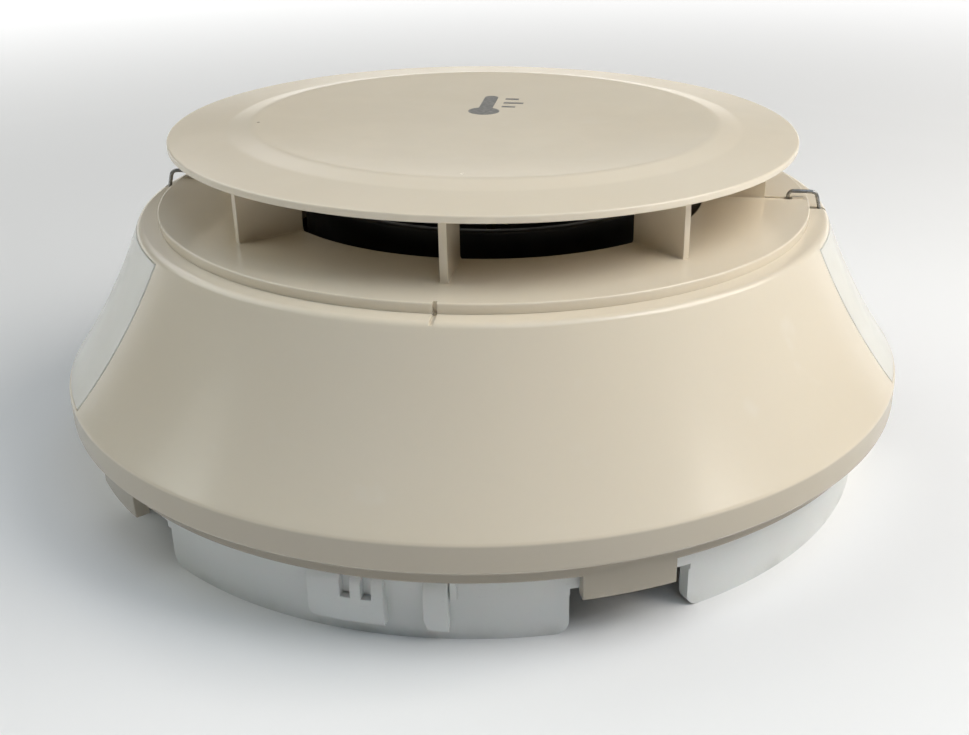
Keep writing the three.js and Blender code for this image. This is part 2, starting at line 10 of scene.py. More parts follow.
import bmesh
import bpy
from mathutils import Matrix, Vector


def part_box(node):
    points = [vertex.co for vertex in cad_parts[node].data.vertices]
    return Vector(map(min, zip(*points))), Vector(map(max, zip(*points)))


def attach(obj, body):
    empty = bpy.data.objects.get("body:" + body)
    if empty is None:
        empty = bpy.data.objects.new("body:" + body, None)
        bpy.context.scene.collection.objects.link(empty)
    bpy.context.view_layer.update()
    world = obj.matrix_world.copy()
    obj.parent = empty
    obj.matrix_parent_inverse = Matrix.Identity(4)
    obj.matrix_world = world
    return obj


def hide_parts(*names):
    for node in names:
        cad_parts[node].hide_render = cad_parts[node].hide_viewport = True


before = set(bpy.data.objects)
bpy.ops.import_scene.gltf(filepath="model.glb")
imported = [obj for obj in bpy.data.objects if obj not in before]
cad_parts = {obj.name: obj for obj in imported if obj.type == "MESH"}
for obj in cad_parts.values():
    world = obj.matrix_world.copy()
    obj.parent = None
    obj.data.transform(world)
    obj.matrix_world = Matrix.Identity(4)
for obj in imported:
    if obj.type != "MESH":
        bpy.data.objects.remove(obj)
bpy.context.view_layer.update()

MM = 0.001
FINE = 240  # facets round a large ring
FACET_ANGLE = 1.5  # degrees, the most that one facet of a bent plate spans
SMOOTH_ANGLE = math.radians(32)  # edges sharper than this stay crisp


def top(node):
    """Highest point of a CAD node, in millimetres."""
    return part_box(node)[1].z / MM


def bottom(node):
    """Lowest point of a CAD node, in millimetres."""
    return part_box(node)[0].z / MM


def reach(node):
    """How far a CAD node stands out from the axis along X, in millimetres."""
    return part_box(node)[1].x / MM


# ---------------------------------------------------------------- sizes

GAP = 0.3  # the usual gap between neighbouring pieces

RIM_R = reach("outer_cover")
RIM_Z = 14.8
BAND_H = 3.3
BAND_FOOT = RIM_Z - BAND_H
LEDGE_Z = top("outer_cover")
LEDGE_R = 45.1
SEAT_R = 41.2
SEAT_T = 1.6
COVER_WALL = 2.0
FLARE_R = 84.0
LIP_IN = 52.4
LIP_OUT = 54.1
LIP_Z = 8.9
TAB_BOTTOM = bottom("outer_cover")
TAB_WIDTH = 11.5
TAB_ASIDE = 1.25  # how far a tab stands from the middle of its gap

TRAY_R = reach("vane_tray")
TRAY_Z = LEDGE_Z + 1.2
TRAY_T = 1.4
TRAY_UNDER = TRAY_Z - TRAY_T
TRAY_FOOT = LEDGE_Z + 0.02
SPIGOT_WALL = 1.4
HOLE_R = 28.5
COLLAR_WALL = 1.2
COLLAR_FOOT = top("cup_gasket") + GAP
VANE_COUNT = 8
VANE_OUT = 36.9
VANE_T = 0.9
RIB_T = 0.7
NOTCH_WIDTH = 0.5

DISC_R = reach("deflector_disc")
DISC_Z = bottom("deflector_disc")
DISC_CREST_Z = top("deflector_disc")
DISC_EDGE_Z = DISC_Z + 0.85
DISC_FLAT_R = 33.3
DISC_CREST_R = 30.2
DISC_DISH = 1.0
DISH_POWER = 2.6  # how flat the middle of the dish is

WINDOW_AZIMUTHS = (100, 280)
WINDOW_HALF = 22.4
WINDOW_GAP = 0.18
WINDOW_LOW = RIM_Z + 0.5
WINDOW_HIGH = LEDGE_Z - 0.9
ARM_WIDTH = 4
ARM_IN = 39.0
ARM_LOW = 22.9
ARM_HIGH = 26.4

WIRE_AZIMUTHS = (90, 270)
WIRE_R = 0.25
WIRE_OUT = 44.3  # the leg in the ledge
WIRE_SHOULDER = 43.7
WIRE_IN = 40.0  # the leg in the tray
WIRE_PAST = 0.6  # how far a leg goes past the plate it holds
WIRE_BEND = 0.75
WIRE_HOLE = 1.1

CUP_R = 24.5
CUP_WALL = 1.2
CUP_TOP = top("sensor_cup")
CUP_FLOOR = bottom("cup_gasket") - GAP
CUP_BORE = 2.5
CUP_FLANGE = HOLE_R + COLLAR_WALL + 1.2
LEG_R = 1.5
LEG_FOOT = 20.9
LEAD_R = 0.3
LEAD_ASIDE = 0.34

BASE_R = 51.5
BASE_WALL = 1.7
BASE_STEP = 0.3
BASE_STEP_Z = 5.2
BASE_FLOOR_Z = 9.0
BASE_TOP = 11.0
BASE_RIBS = (30.0, 12.0)
BASE_RIB = 1.2  # width and depth of a stiffening ring
KEY_COUNT = 5
KEY_AZIMUTH = 24.6
KEY_WIDTH = 15.9
KEY_TOP = 6.0
KEY_CORNER = 1.5
KEY_PITCH_HALF = 180.0 / KEY_COUNT
KEY_SIDE = KEY_PITCH_HALF - KEY_WIDTH / 2
LUG_HEAD = 7.0
LUG_OUT = BASE_R + 1.2
LUG_CROWN = LIP_Z - GAP
LUG_SECTIONS = (0, 2, 3)

SCREW_COUNT = 3
SCREW_AZIMUTH = 60
SCREW_PLACE = 35
SCREW_R = 1.25
SCREW_BORE = 1.55
SCREW_HEAD_R = 2.8
BOSS_R = 3.2
BOSS_FOOT = 11.4

CONTACT_COUNT = 4
CONTACT_AZIMUTH = 45
CONTACT_PLACE = 43.0
CONTACT_WIDTH = 4
PAD_LENGTH = 3.6
PAD_T = 0.6
PIN_WIDTH = 1.2
PIN_ASIDE = 1.8
LEAF_ROOT = 3.4
LEAF_LENGTH = 13.0
LEAF_DROP = 3.7
LEAF_T = 0.5


# ---------------------------------------------------------------- mesh tools


def new_piece(name, mesh):
    piece = bpy.data.objects.new(name, mesh)
    bpy.context.scene.collection.objects.link(piece)
    return piece


def mesh_of(name, points_mm, edges=(), faces=()):
    mesh = bpy.data.meshes.new(name)
    mesh.from_pydata([Vector(p) * MM for p in points_mm], edges, faces)
    return mesh


def settle(piece, angle=SMOOTH_ANGLE):
    """Merges doubles, turns faces outwards and shades all but the crisp edges smooth."""
    body = bmesh.new()
    body.from_mesh(piece.data)
    bmesh.ops.remove_doubles(body, verts=body.verts, dist=2e-6)
    bmesh.ops.dissolve_degenerate(body, edges=body.edges, dist=1e-7)
    bmesh.ops.recalc_face_normals(body, faces=body.faces)
    body.to_mesh(piece.data)
    body.free()
    piece.data.shade_smooth()
    piece.data.set_sharp_from_angle(angle=angle)
    return piece


def evenly_shaded(piece):
    """Lets the large faces lead the shading, so that flat walls stay flat beside their fillets."""
    step = piece.modifiers.new("shading", "WEIGHTED_NORMAL")
    step.keep_sharp = True
    return frozen(piece)


def frozen(piece):
    """The piece with its modifiers made into a plain mesh."""
    graph = bpy.context.evaluated_depsgraph_get()
    graph.update()
    mesh = bpy.data.meshes.new_from_object(piece.evaluated_get(graph), depsgraph=graph)
    piece.modifiers.clear()
    old, piece.data = piece.data, mesh
    mesh.name = piece.name
    bpy.data.meshes.remove(old)
    return piece


def with_nodes(piece, tree, **inputs):
    """Runs a geometry tree on a piece, with its inputs set by name, and keeps the result."""
    step = piece.modifiers.new(tree.name, "NODES")
    step.node_group = tree
    sockets = {s.name: s.identifier for s in tree.interface.items_tree if s.in_out == "INPUT"}
    for name, value in inputs.items():
        step[sockets[name.replace("_", " ")]] = value
    return frozen(piece)


def combine(piece, other, operation):
    """Joins another solid to a piece, or cuts it out or keeps what they share."""
    step = piece.modifiers.new("combine", "BOOLEAN")
    step.operation = operation
    step.solver = "EXACT"
    step.object = other
    frozen(piece)
    bpy.data.objects.remove(other)
    return piece


def together(name, pieces):
    """Several separate solids in one piece, with the finish of the first."""
    finish = pieces[0].data.materials[0]
    body = bmesh.new()
    for piece in pieces:
        body.from_mesh(piece.data)
        bpy.data.objects.remove(piece)
    mesh = bpy.data.meshes.new(name)
    body.to_mesh(mesh)
    body.free()
    mesh.materials.append(finish)
    return new_piece(name, mesh)


def softened(piece, width_mm, segments=2, angle=40):
    step = piece.modifiers.new("edges", "BEVEL")
    step.width = width_mm * MM
    step.segments = segments
    step.limit_method = "ANGLE"
    step.angle_limit = math.radians(angle)
    step.use_clamp_overlap = True
    return frozen(piece)


# ---------------------------------------------------------------- geometry trees


def new_tree(name, inputs):
    """A geometry tree with named inputs, which are (name, socket type, start value)."""
    tree = bpy.data.node_groups.new(name, "GeometryNodeTree")
    face = tree.interface
    face.new_socket("Geometry", in_out="INPUT", socket_type="NodeSocketGeometry")
    for label, kind, value in inputs:
        socket = face.new_socket(label, in_out="INPUT", socket_type=kind)
        if value is not None:
            socket.default_value = value
    face.new_socket("Geometry", in_out="OUTPUT", socket_type="NodeSocketGeometry")
    start = tree.nodes.new("NodeGroupInput")
    end = tree.nodes.new("NodeGroupOutput")
    return tree, start, end


def node(tree, kind, settings=None, **links):
    """A node with its settings, each input linked from a socket or given a value.

    An input goes by its name, or as i0, i1 and so on by its number.
    """
    made = tree.nodes.new(kind)
    for key, value in (settings or {}).items():
        setattr(made, key, value)
    for key, value in links.items():
        socket = made.inputs[int(key[1:])] if key[0] == "i" and key[1:].isdigit() else None
        socket = socket or made.inputs[key.replace("_", " ")]
        if isinstance(value, bpy.types.NodeSocket):
            tree.links.new(value, socket)
        else:
            socket.default_value = value
    return made


def maths(tree, operation, a, b=0.0, c=0.0):
    return node(tree, "ShaderNodeMath", {"operation": operation}, i0=a, i1=b, i2=c).outputs[0]


def finish_tree(tree, start, end, shape):
    """Every tree ends in real geometry with the finish set on it."""
    real = node(tree, "GeometryNodeRealizeInstances", Geometry=shape)
    coat = node(tree, "GeometryNodeSetMaterial", Geometry=real.outputs[0],
                Material=start.outputs["Material"])
    tree.links.new(coat.outputs[0], end.inputs[0])


def turning_tree():
    """Turns an open profile, drawn in the plane y = 0, once round the axis."""
    tree, start, end = new_tree("turned on the lathe", (
        ("Facets", "NodeSocketInt", FINE),
        ("Material", "NodeSocketMaterial", None),
    ))
    profile = start.outputs["Geometry"]
    size = node(tree, "GeometryNodeAttributeDomainSize", Geometry=profile)
    steps = maths(tree, "ADD", start.outputs["Facets"], 1.0)
    grid = node(tree, "GeometryNodeMeshGrid", Vertices_X=size.outputs[0], Vertices_Y=steps)
    index = node(tree, "GeometryNodeInputIndex").outputs[0]
    along = maths(tree, "FLOOR", maths(tree, "DIVIDE", maths(tree, "ADD", index, 0.5), steps))
    turn = maths(tree, "SUBTRACT", index, maths(tree, "MULTIPLY", along, steps))
    share = maths(tree, "DIVIDE", turn, start.outputs["Facets"])
    angle = maths(tree, "MULTIPLY", share, 2 * math.pi)
    place = node(tree, "GeometryNodeInputPosition").outputs[0]
    drawn = node(tree, "GeometryNodeSampleIndex", {"data_type": "FLOAT_VECTOR"},
                 Geometry=profile, Value=place, Index=along)
    spun = node(tree, "ShaderNodeVectorRotate", {"rotation_type": "Z_AXIS"},
                Vector=drawn.outputs[0], Angle=angle)
    shape = node(tree, "GeometryNodeSetPosition", Geometry=grid.outputs[0],
                 Position=spun.outputs[0])
    merged = node(tree, "GeometryNodeMergeByDistance", Geometry=shape.outputs[0], Distance=1e-6)
    finish_tree(tree, start, end, merged.outputs[0])
    return tree


def ring_tree():
    """Carries what is drawn at the front round to a number of azimuths."""
    tree, start, end = new_tree("ring of copies", (
        ("Count", "NodeSocketInt", 1),
        ("First azimuth", "NodeSocketFloat", 0.0),
        ("Material", "NodeSocketMaterial", None),
    ))
    places = node(tree, "GeometryNodePoints", Count=start.outputs["Count"])
    index = node(tree, "GeometryNodeInputIndex").outputs[0]
    step = maths(tree, "DIVIDE", 360.0, start.outputs["Count"])
    degrees = maths(tree, "MULTIPLY_ADD", index, step, start.outputs["First azimuth"])
    angle = maths(tree, "RADIANS", degrees)
    turn = node(tree, "ShaderNodeCombineXYZ", Z=angle)
    copies = node(tree, "GeometryNodeInstanceOnPoints", Points=places.outputs[0],
                  Instance=start.outputs["Geometry"], Rotation=turn.outputs[0])
    finish_tree(tree, start, end, copies.outputs[0])
    return tree


def drawn_wire_tree():
    """A round wire along a line of points, with closed ends."""
    tree, start, end = new_tree("wire along a line", (
        ("Radius", "NodeSocketFloat", WIRE_R * MM),
        ("Sides", "NodeSocketInt", 14),
        ("Material", "NodeSocketMaterial", None),
    ))
    line = node(tree, "GeometryNodeMeshToCurve", Mesh=start.outputs["Geometry"])
    ring = node(tree, "GeometryNodeCurvePrimitiveCircle", Resolution=start.outputs["Sides"],
                Radius=start.outputs["Radius"])
    tube = node(tree, "GeometryNodeCurveToMesh", Curve=line.outputs[0],
                Profile_Curve=ring.outputs[0], Fill_Caps=True)
    finish_tree(tree, start, end, tube.outputs[0])
    return tree


LATHE = turning_tree()
RING = ring_tree()
WIRE = drawn_wire_tree()


def rounded(corners, steps=4):
    """(radius, height, fillet) corners as a line whose corners are arcs of that fillet."""
    line = []
    for i, (r, z, fillet) in enumerate(corners):
        if not fillet or i in (0, len(corners) - 1):
            line.append((r, z))
            continue
        at = Vector((r, z))
        back = Vector(corners[i - 1][:2]) - at
        ahead = Vector(corners[i + 1][:2]) - at
        start = at + back.normalized() * min(fillet, back.length * 0.45)
        finish = at + ahead.normalized() * min(fillet, ahead.length * 0.45)
        for k in range(steps + 1):
            t = k / steps
            line.append(tuple(start * (1 - t) ** 2 + at * 2 * t * (1 - t) + finish * t * t))
    return line


def turned(name, line, finish, facets=FINE, closed=False):
    """A turned solid from a line of (radius, height) points in millimetres."""
    if closed:
        line = [*line, line[0]]
    points = [(r, 0, z) for r, z in line]
    edges = [(i, i + 1) for i in range(len(points) - 1)]
    piece = new_piece(name, mesh_of(name, points, edges))
    with_nodes(piece, LATHE, Facets=facets, Material=finish)
    return settle(piece)


def ring_of(piece, count, first, finish):
    with_nodes(piece, RING, Count=count, First_azimuth=float(first), Material=finish)
    return settle(piece)


def on_ring(radius, azimuth, z):
    a = math.radians(azimuth)
    return (radius * math.sin(a), -radius * math.cos(a), z)


def shifted(piece, x=0.0, y=0.0):
    piece.data.transform(Matrix.Translation((x * MM, y * MM, 0)))
    return piece


def turned_by(piece, azimuth):
    piece.data.transform(Matrix.Rotation(math.radians(azimuth), 4, "Z"))
    return piece


def bent_plate(name, outline, inner, outer, finish, edge_mm=0.0, open_ends=False, lean=None):
    """A plate with an outline of (azimuth, height) points, bent round the axis.

    It reaches from the inner to the outer radius. The edges of its outside are rounded by
    edge_mm. lean gives the outer radius at a height, for a face that leans back.
    """
    scale = math.radians(outer)
    body = bmesh.new()
    near = [body.verts.new((a * scale, -outer, z)) for a, z in outline]
    face = body.faces.new(near)
    far = bmesh.ops.extrude_face_region(body, geom=[face])
    moved = [v for v in far["geom"] if isinstance(v, bmesh.types.BMVert)]
    bmesh.ops.translate(body, verts=moved, vec=(0, outer - inner, 0))
    if edge_mm:
        front = [e for e in body.edges if all(abs(v.co.y + outer) < 1e-4 for v in e.verts)]
        bmesh.ops.bevel(body, geom=front, offset=edge_mm, segments=3, profile=0.5,
                        affect="EDGES", clamp_overlap=True)
    lo = min(a for a, _ in outline)
    hi = max(a for a, _ in outline)
    cuts = max(1, math.ceil((hi - lo) / FACET_ANGLE))
    for k in range(1, cuts):
        place = (lo + (hi - lo) * k / cuts) * scale
        bmesh.ops.bisect_plane(body, geom=[*body.verts, *body.edges, *body.faces],
                               plane_co=(place, 0, 0), plane_no=(1, 0, 0), dist=1e-4)
    if lean:
        bmesh.ops.bisect_plane(body, geom=[*body.verts, *body.edges, *body.faces],
                               plane_co=(0, 0, LUG_HEAD), plane_no=(0, 0, 1), dist=1e-4)
    if open_ends:
        ends = [f for f in body.faces
                if all(abs(v.co.x - lo * scale) < 1e-3 for v in f.verts)
                or all(abs(v.co.x - hi * scale) < 1e-3 for v in f.verts)]
        bmesh.ops.delete(body, geom=ends, context="FACES_ONLY")
    for v in body.verts:
        radius = -v.co.y
        if lean:
            radius = min(radius, lean(v.co.z))
        v.co = Vector(on_ring(radius, v.co.x / scale, v.co.z)) * MM
    mesh = bpy.data.meshes.new(name)
    body.to_mesh(mesh)
    body.free()
    mesh.materials.append(finish)
    return new_piece(name, mesh)


def block(name, width, depth, low, high, place, finish, azimuth=0.0):
    """A plain block at a radius, used to cut or build other pieces, in millimetres."""
    middle = (low + high) / 2
    body = bmesh.new()
    bmesh.ops.create_cube(body, size=1)
    for v in body.verts:
        v.co = Vector((v.co.x * width, v.co.y * depth - place, middle + v.co.z * (high - low)))
    turn = Matrix.Rotation(math.radians(azimuth), 4, "Z")
    bmesh.ops.transform(body, matrix=turn, verts=body.verts)
    bmesh.ops.scale(body, vec=(MM, MM, MM), verts=body.verts)
    mesh = bpy.data.meshes.new(name)
    body.to_mesh(mesh)
    body.free()
    mesh.materials.append(finish)
    return new_piece(name, mesh)


def prism(name, section, near, far, finish, azimuth=0.0):
    """A cross-section of (x, height) points, run out from one radius to another."""
    count = len(section)
    points = [(x, -near, z) for x, z in section] + [(x, -far, z) for x, z in section]
    faces = [tuple(range(count)), tuple(range(2 * count - 1, count - 1, -1))]
    faces += [(i, (i + 1) % count, count + (i + 1) % count, count + i) for i in range(count)]
    mesh = mesh_of(name, points, (), faces)
    mesh.materials.append(finish)
    return turned_by(new_piece(name, mesh), azimuth)


# ---------------------------------------------------------------- finishes


class Finish:
    """A Principled material whose colour, gloss and relief are built from patterns."""

    def __init__(self, name, **fixed):
        self.material = bpy.data.materials.new(name)
        self.material.use_nodes = True
        self.tree = self.material.node_tree
        self.shader = self.tree.nodes["Principled BSDF"]
        for key, value in fixed.items():
            self.shader.inputs[key.replace("_", " ")].default_value = value
        self.place = node(self.tree, "ShaderNodeTexCoord").outputs["Object"]

    def maths(self, operation, a, b=0.0, c=0.0):
        return maths(self.tree, operation, a, b, c)

    def stretched(self, scale):
        return node(self.tree, "ShaderNodeMapping", Vector=self.place, Scale=scale).outputs[0]

    def noise(self, size_mm, detail=3.0, rough=0.5, place=None):
        """Cloudy variation from 0 to 1 whose patches are about size_mm across."""
        made = node(self.tree, "ShaderNodeTexNoise", {"noise_dimensions": "3D"},
                    Vector=place or self.place, Scale=1.0 / (size_mm * MM), Detail=detail,
                    Roughness=rough)
        return made.outputs["Fac"]

    def ramp(self, value, low, high, out_low=0.0, out_high=1.0):
        """Runs from out_low to out_high as value goes from low to high."""
        made = node(self.tree, "ShaderNodeMapRange", {"interpolation_type": "SMOOTHSTEP"},
                    Value=value, From_Min=low, From_Max=high, To_Min=out_low, To_Max=out_high)
        return made.outputs["Result"]

    def specks(self, spacing_mm, size, share, place=None):
        """Small sparse dots, one in each used cell. A dot's size is a share of the spacing."""
        cells = node(self.tree, "ShaderNodeTexVoronoi",
                     {"voronoi_dimensions": "3D", "feature": "F1"},
                     Vector=place or self.place, Scale=1.0 / (spacing_mm * MM), Randomness=1.0)
        core = size * 0.55
        dot = self.ramp(cells.outputs["Distance"], size, core)
        chance = node(self.tree, "ShaderNodeSeparateColor", Color=cells.outputs["Color"]).outputs[0]
        return self.maths("MULTIPLY", dot, self.maths("LESS_THAN", chance, share))

    def radius_and_height(self):
        """Distance from the axis and height, both in millimetres."""
        x, y, z = node(self.tree, "ShaderNodeSeparateXYZ", Vector=self.place).outputs
        square = self.maths("ADD", self.maths("MULTIPLY", x, x), self.maths("MULTIPLY", y, y))
        radius = self.maths("DIVIDE", self.maths("SQRT", square), MM)
        return radius, self.maths("DIVIDE", z, MM)

    def mix(self, factor, a, b):
        """A colour between a and b, each a socket or (red, green, blue)."""
        a, b = ((*c, 1.0) if isinstance(c, tuple) else c for c in (a, b))
        made = node(self.tree, "ShaderNodeMix", {"data_type": "RGBA"}, i0=factor, i6=a, i7=b)
        return made.outputs[2]

    def colour(self, value):
        self.tree.links.new(value, self.shader.inputs["Base Color"])

    def roughness(self, value):
        self.tree.links.new(value, self.shader.inputs["Roughness"])

    def relief(self, *layers):
        """Bumps, each a (height socket, depth in millimetres)."""
        normal = None
        for height, depth_mm in layers:
            bump = node(self.tree, "ShaderNodeBump", Height=height, Strength=1.0,
                        Distance=depth_mm * MM)
            if normal:
                self.tree.links.new(normal, bump.inputs["Normal"])
            normal = bump.outputs[0]
        self.tree.links.new(normal, self.shader.inputs["Normal"])


PALE_SCUFF = (0.88, 0.88, 0.86)
DARK_MARK = (0.13, 0.11, 0.09)
BROWN_DUST = (0.33, 0.28, 0.21)
WHITE_FLUFF = (0.93, 0.93, 0.92)
YELLOWING = (0.985, 0.972, 0.95)


def shade(tone, share):
    """A tone made darker or lighter by a share."""
    return tuple(c * share for c in tone)


def moulded_cream(name, tone, gloss, scuff=1.0):
    """Glossy moulded plastic, a little yellowed, with faint clouds, scuffs, smears and specks, and
    painted shade below the rim.
    """
    f = Finish(name, IOR=1.49, Subsurface_Weight=0.06, Subsurface_Scale=0.0012,
               Subsurface_Radius=(1.0, 0.8, 0.55))
    yellowed = tuple(c * s for c, s in zip(tone, YELLOWING))
    base = f.mix(f.ramp(f.noise(34.0, 2.0), 0.25, 0.75), shade(tone, 1.02), yellowed)
    base = f.mix(f.ramp(f.noise(0.9, 3.0), 0.25, 0.8, 0.0, 0.07), base, shade(tone, 0.93))
    scrapes = f.specks(11.0, 0.055, 0.20, f.stretched((1.0, 1.0, 0.22)))
    nicks = f.specks(9.0, 0.045, 0.16, f.stretched((0.25, 0.8, 1.0)))
    broken = f.ramp(f.noise(0.7, 3.0), 0.42, 0.62)
    scuffs = f.maths("MULTIPLY", f.maths("MAXIMUM", scrapes, nicks), broken)
    scuffs = f.maths("MULTIPLY", scuffs, 0.30 * scuff)
    smears = f.maths("MULTIPLY", f.ramp(f.noise(5.2, 2.0), 0.66, 0.86), 0.12 * scuff)
    base = f.mix(f.maths("ADD", scuffs, smears), base, PALE_SCUFF)
    marks = f.specks(15.0, 0.016, 0.12, f.stretched((1.0, 0.6, 0.8)))
    dust = f.specks(5.0, 0.020, 0.05)
    fluff = f.specks(7.0, 0.013, 0.06)
    base = f.mix(f.maths("MULTIPLY", marks, 0.70), base, DARK_MARK)
    base = f.mix(f.maths("MULTIPLY", dust, 0.30), base, BROWN_DUST)
    base = f.mix(f.maths("MULTIPLY", fluff, 0.45), base, WHITE_FLUFF)
    _, height = f.radius_and_height()
    # Painted shade: the band below the rim is made darker, and the lip and tabs below the band darker
    # still.
    below_rim = f.ramp(height, RIM_Z + 0.05, RIM_Z - 0.3, 0.0, 0.50)
    below_band = f.ramp(height, BAND_FOOT + 0.1, BAND_FOOT - 0.3, 0.0, 0.35)
    painted_shade_under_rim = f.maths("ADD", below_rim, below_band)
    f.colour(f.mix(painted_shade_under_rim, base, shade(tone, 0.45)))
    smear = f.ramp(f.noise(8.0, 3.0, 0.5), 0.35, 0.75, gloss - 0.02, gloss + 0.03)
    f.roughness(f.maths("ADD", smear, f.maths("MULTIPLY", scuffs, 0.8)))
    f.relief((f.noise(3.2, 1.0), 0.004), (f.noise(0.25, 2.0), 0.0007), (marks, 0.02))
    return f.material


def frosted_window():
    """Milky light-spreading plastic with a fine grain, dustier towards its foot."""
    f = Finish("milky window plastic", IOR=1.5, Specular_IOR_Level=0.45, Subsurface_Weight=0.35,
               Subsurface_Scale=0.003, Subsurface_Radius=(1.0, 0.95, 0.85))
    clouds = f.noise(14.0, 3.0)
    base = f.mix(f.ramp(clouds, 0.3, 0.7), (0.72, 0.705, 0.64), (0.69, 0.67, 0.60))
    _, height = f.radius_and_height()
    settled = f.ramp(height, WINDOW_LOW + 3.0, WINDOW_LOW, 0.0, 0.22)
    base = f.mix(settled, base, (0.62, 0.57, 0.46))
    marks = f.specks(11.0, 0.022, 0.16)
    base = f.mix(f.maths("MULTIPLY", marks, 0.8), base, (0.14, 0.12, 0.10))
    f.colour(base)
    f.roughness(f.ramp(f.noise(6.0, 3.0), 0.3, 0.75, 0.16, 0.24))
    f.relief((f.noise(0.30, 2.0), 0.0006), (f.noise(5.0, 1.0), 0.002))
    return f.material


def moulded_white():
    """Satin white plastic with a fine grain, grime towards its foot and rubbed streaks."""
    f = Finish("satin white plastic", IOR=1.5, Specular_IOR_Level=0.45, Subsurface_Weight=0.05,
               Subsurface_Scale=0.001)
    radius, height = f.radius_and_height()
    base = f.mix(f.ramp(f.noise(24.0, 3.0), 0.32, 0.7), (0.76, 0.775, 0.76), (0.70, 0.71, 0.69))
    near_foot = f.ramp(height, 2.2, 0.0)
    grime = f.maths("MULTIPLY", near_foot, f.ramp(f.noise(5.0, 4.0), 0.45, 0.7, 0.0, 0.35))
    base = f.mix(grime, base, (0.42, 0.41, 0.37))
    streaks = f.ramp(f.noise(1.2, 5.0, 0.7, f.stretched((1.0, 1.0, 3.5))), 0.6, 0.75)
    outside = f.ramp(radius, BASE_R - 0.2, BASE_R + 0.3, 0.0, 0.30)
    base = f.mix(f.maths("MULTIPLY", streaks, outside), base, (0.45, 0.45, 0.43))
    marks = f.specks(9.0, 0.024, 0.20)
    base = f.mix(f.maths("MULTIPLY", marks, 0.8), base, (0.12, 0.11, 0.10))
    f.colour(base)
    f.roughness(f.ramp(f.noise(7.0, 4.0), 0.3, 0.75, 0.34, 0.50))
    f.relief((f.noise(0.30, 3.0), 0.010), (f.noise(2.8, 2.0), 0.006))
    return f.material


def black_plastic():
    """Fine black plastic of the chamber, with dust lying on it."""
    f = Finish("fine black plastic", IOR=1.5, Specular_IOR_Level=0.4)
    clouds = f.ramp(f.noise(6.0, 4.0), 0.35, 0.7)
    base = f.mix(clouds, (0.006, 0.006, 0.006), (0.011, 0.0105, 0.010))
    dust = f.maths("MULTIPLY", f.ramp(f.noise(0.9, 4.0, 0.7), 0.64, 0.80), 0.18)
    base = f.mix(dust, base, (0.06, 0.055, 0.045))
    f.colour(base)
    f.roughness(f.ramp(f.noise(3.0, 4.0), 0.3, 0.7, 0.28, 0.46))
    f.relief((f.noise(0.25, 2.0), 0.004))
    return f.material


def soft_rubber():
    f = Finish("soft black rubber", IOR=1.5, Specular_IOR_Level=0.3)
    clouds = f.ramp(f.noise(2.5, 4.0), 0.3, 0.7)
    f.colour(f.mix(clouds, (0.022, 0.022, 0.022), (0.045, 0.044, 0.042)))
    f.roughness(f.ramp(f.noise(1.5, 4.0), 0.3, 0.7, 0.62, 0.82))
    f.relief((f.noise(0.18, 3.0), 0.008))
    return f.material


def metal(name, tone, dull, gloss, grain_mm, stretch):
    """Bare metal: a base tone, dulled patches, and drawn or rolled lines along its stretch."""
    f = Finish(name, Metallic=1.0)
    lines = f.noise(grain_mm, 3.0, 0.6, f.stretched(stretch))
    patches = f.ramp(f.noise(3.5, 4.0, 0.6), 0.38, 0.68)
    f.colour(f.mix(patches, f.mix(f.ramp(lines, 0.3, 0.7, 0.0, 0.4), tone, dull), dull))
    spread = f.ramp(lines, 0.25, 0.75, gloss - 0.05, gloss + 0.08)
    f.roughness(f.maths("ADD", spread, f.maths("MULTIPLY", patches, 0.10)))
    f.relief((lines, 0.002))
    return f.material


def circuit_green():
    """Green solder mask over woven glass fibre, with copper tracks showing faintly."""
    f = Finish("green solder mask", IOR=1.5, Coat_Weight=0.3, Coat_Roughness=0.12)
    fibres = node(f.tree, "ShaderNodeTexBrick", Vector=f.place, Scale=1.0 / (1.2 * MM))
    weave = fibres.outputs["Fac"]
    tracks = node(f.tree, "ShaderNodeTexVoronoi", {"distance": "MANHATTAN"},
                  Vector=f.place, Scale=1.0 / (4.5 * MM))
    track = f.ramp(tracks.outputs["Distance"], 0.42, 0.50)
    base = f.mix(track, (0.020, 0.115, 0.045), (0.034, 0.165, 0.062))
    base = f.mix(f.maths("MULTIPLY", weave, 0.12), base, (0.05, 0.20, 0.09))
    f.colour(base)
    f.roughness(f.ramp(f.noise(4.0, 4.0), 0.3, 0.7, 0.22, 0.38))
    f.relief((track, 0.02), (weave, 0.003))
    return f.material


def dark_resin():
    f = Finish("dark moulded resin", IOR=1.52, Specular_IOR_Level=0.45)
    clouds = f.ramp(f.noise(1.2, 4.0), 0.3, 0.7)
    f.colour(f.mix(clouds, (0.014, 0.013, 0.012), (0.030, 0.028, 0.026)))
    f.roughness(f.ramp(f.noise(0.8, 4.0), 0.3, 0.7, 0.38, 0.58))
    f.relief((f.noise(0.12, 3.0), 0.006))
    return f.material


def clear_resin():
    f = Finish("clear lamp resin", IOR=1.54, Subsurface_Weight=0.3, Subsurface_Scale=0.001)
    f.colour(f.mix(f.ramp(f.noise(1.0, 3.0), 0.3, 0.7), (0.74, 0.66, 0.60), (0.66, 0.56, 0.48)))
    f.roughness(f.ramp(f.noise(0.7, 3.0), 0.3, 0.7, 0.10, 0.22))
    f.relief((f.noise(0.5, 2.0), 0.003))
    return f.material


def grey_ink():
    """Pad-printed grey ink, a little thin in places."""
    f = Finish("grey printed ink", IOR=1.45, Specular_IOR_Level=0.35)
    f.colour(f.mix(f.ramp(f.noise(0.6, 4.0), 0.4, 0.75), (0.205, 0.200, 0.190), (0.27, 0.26, 0.24)))
    f.roughness(f.ramp(f.noise(0.5, 4.0), 0.3, 0.7, 0.40, 0.58))
    f.relief((f.noise(0.15, 2.0), 0.002))
    return f.material


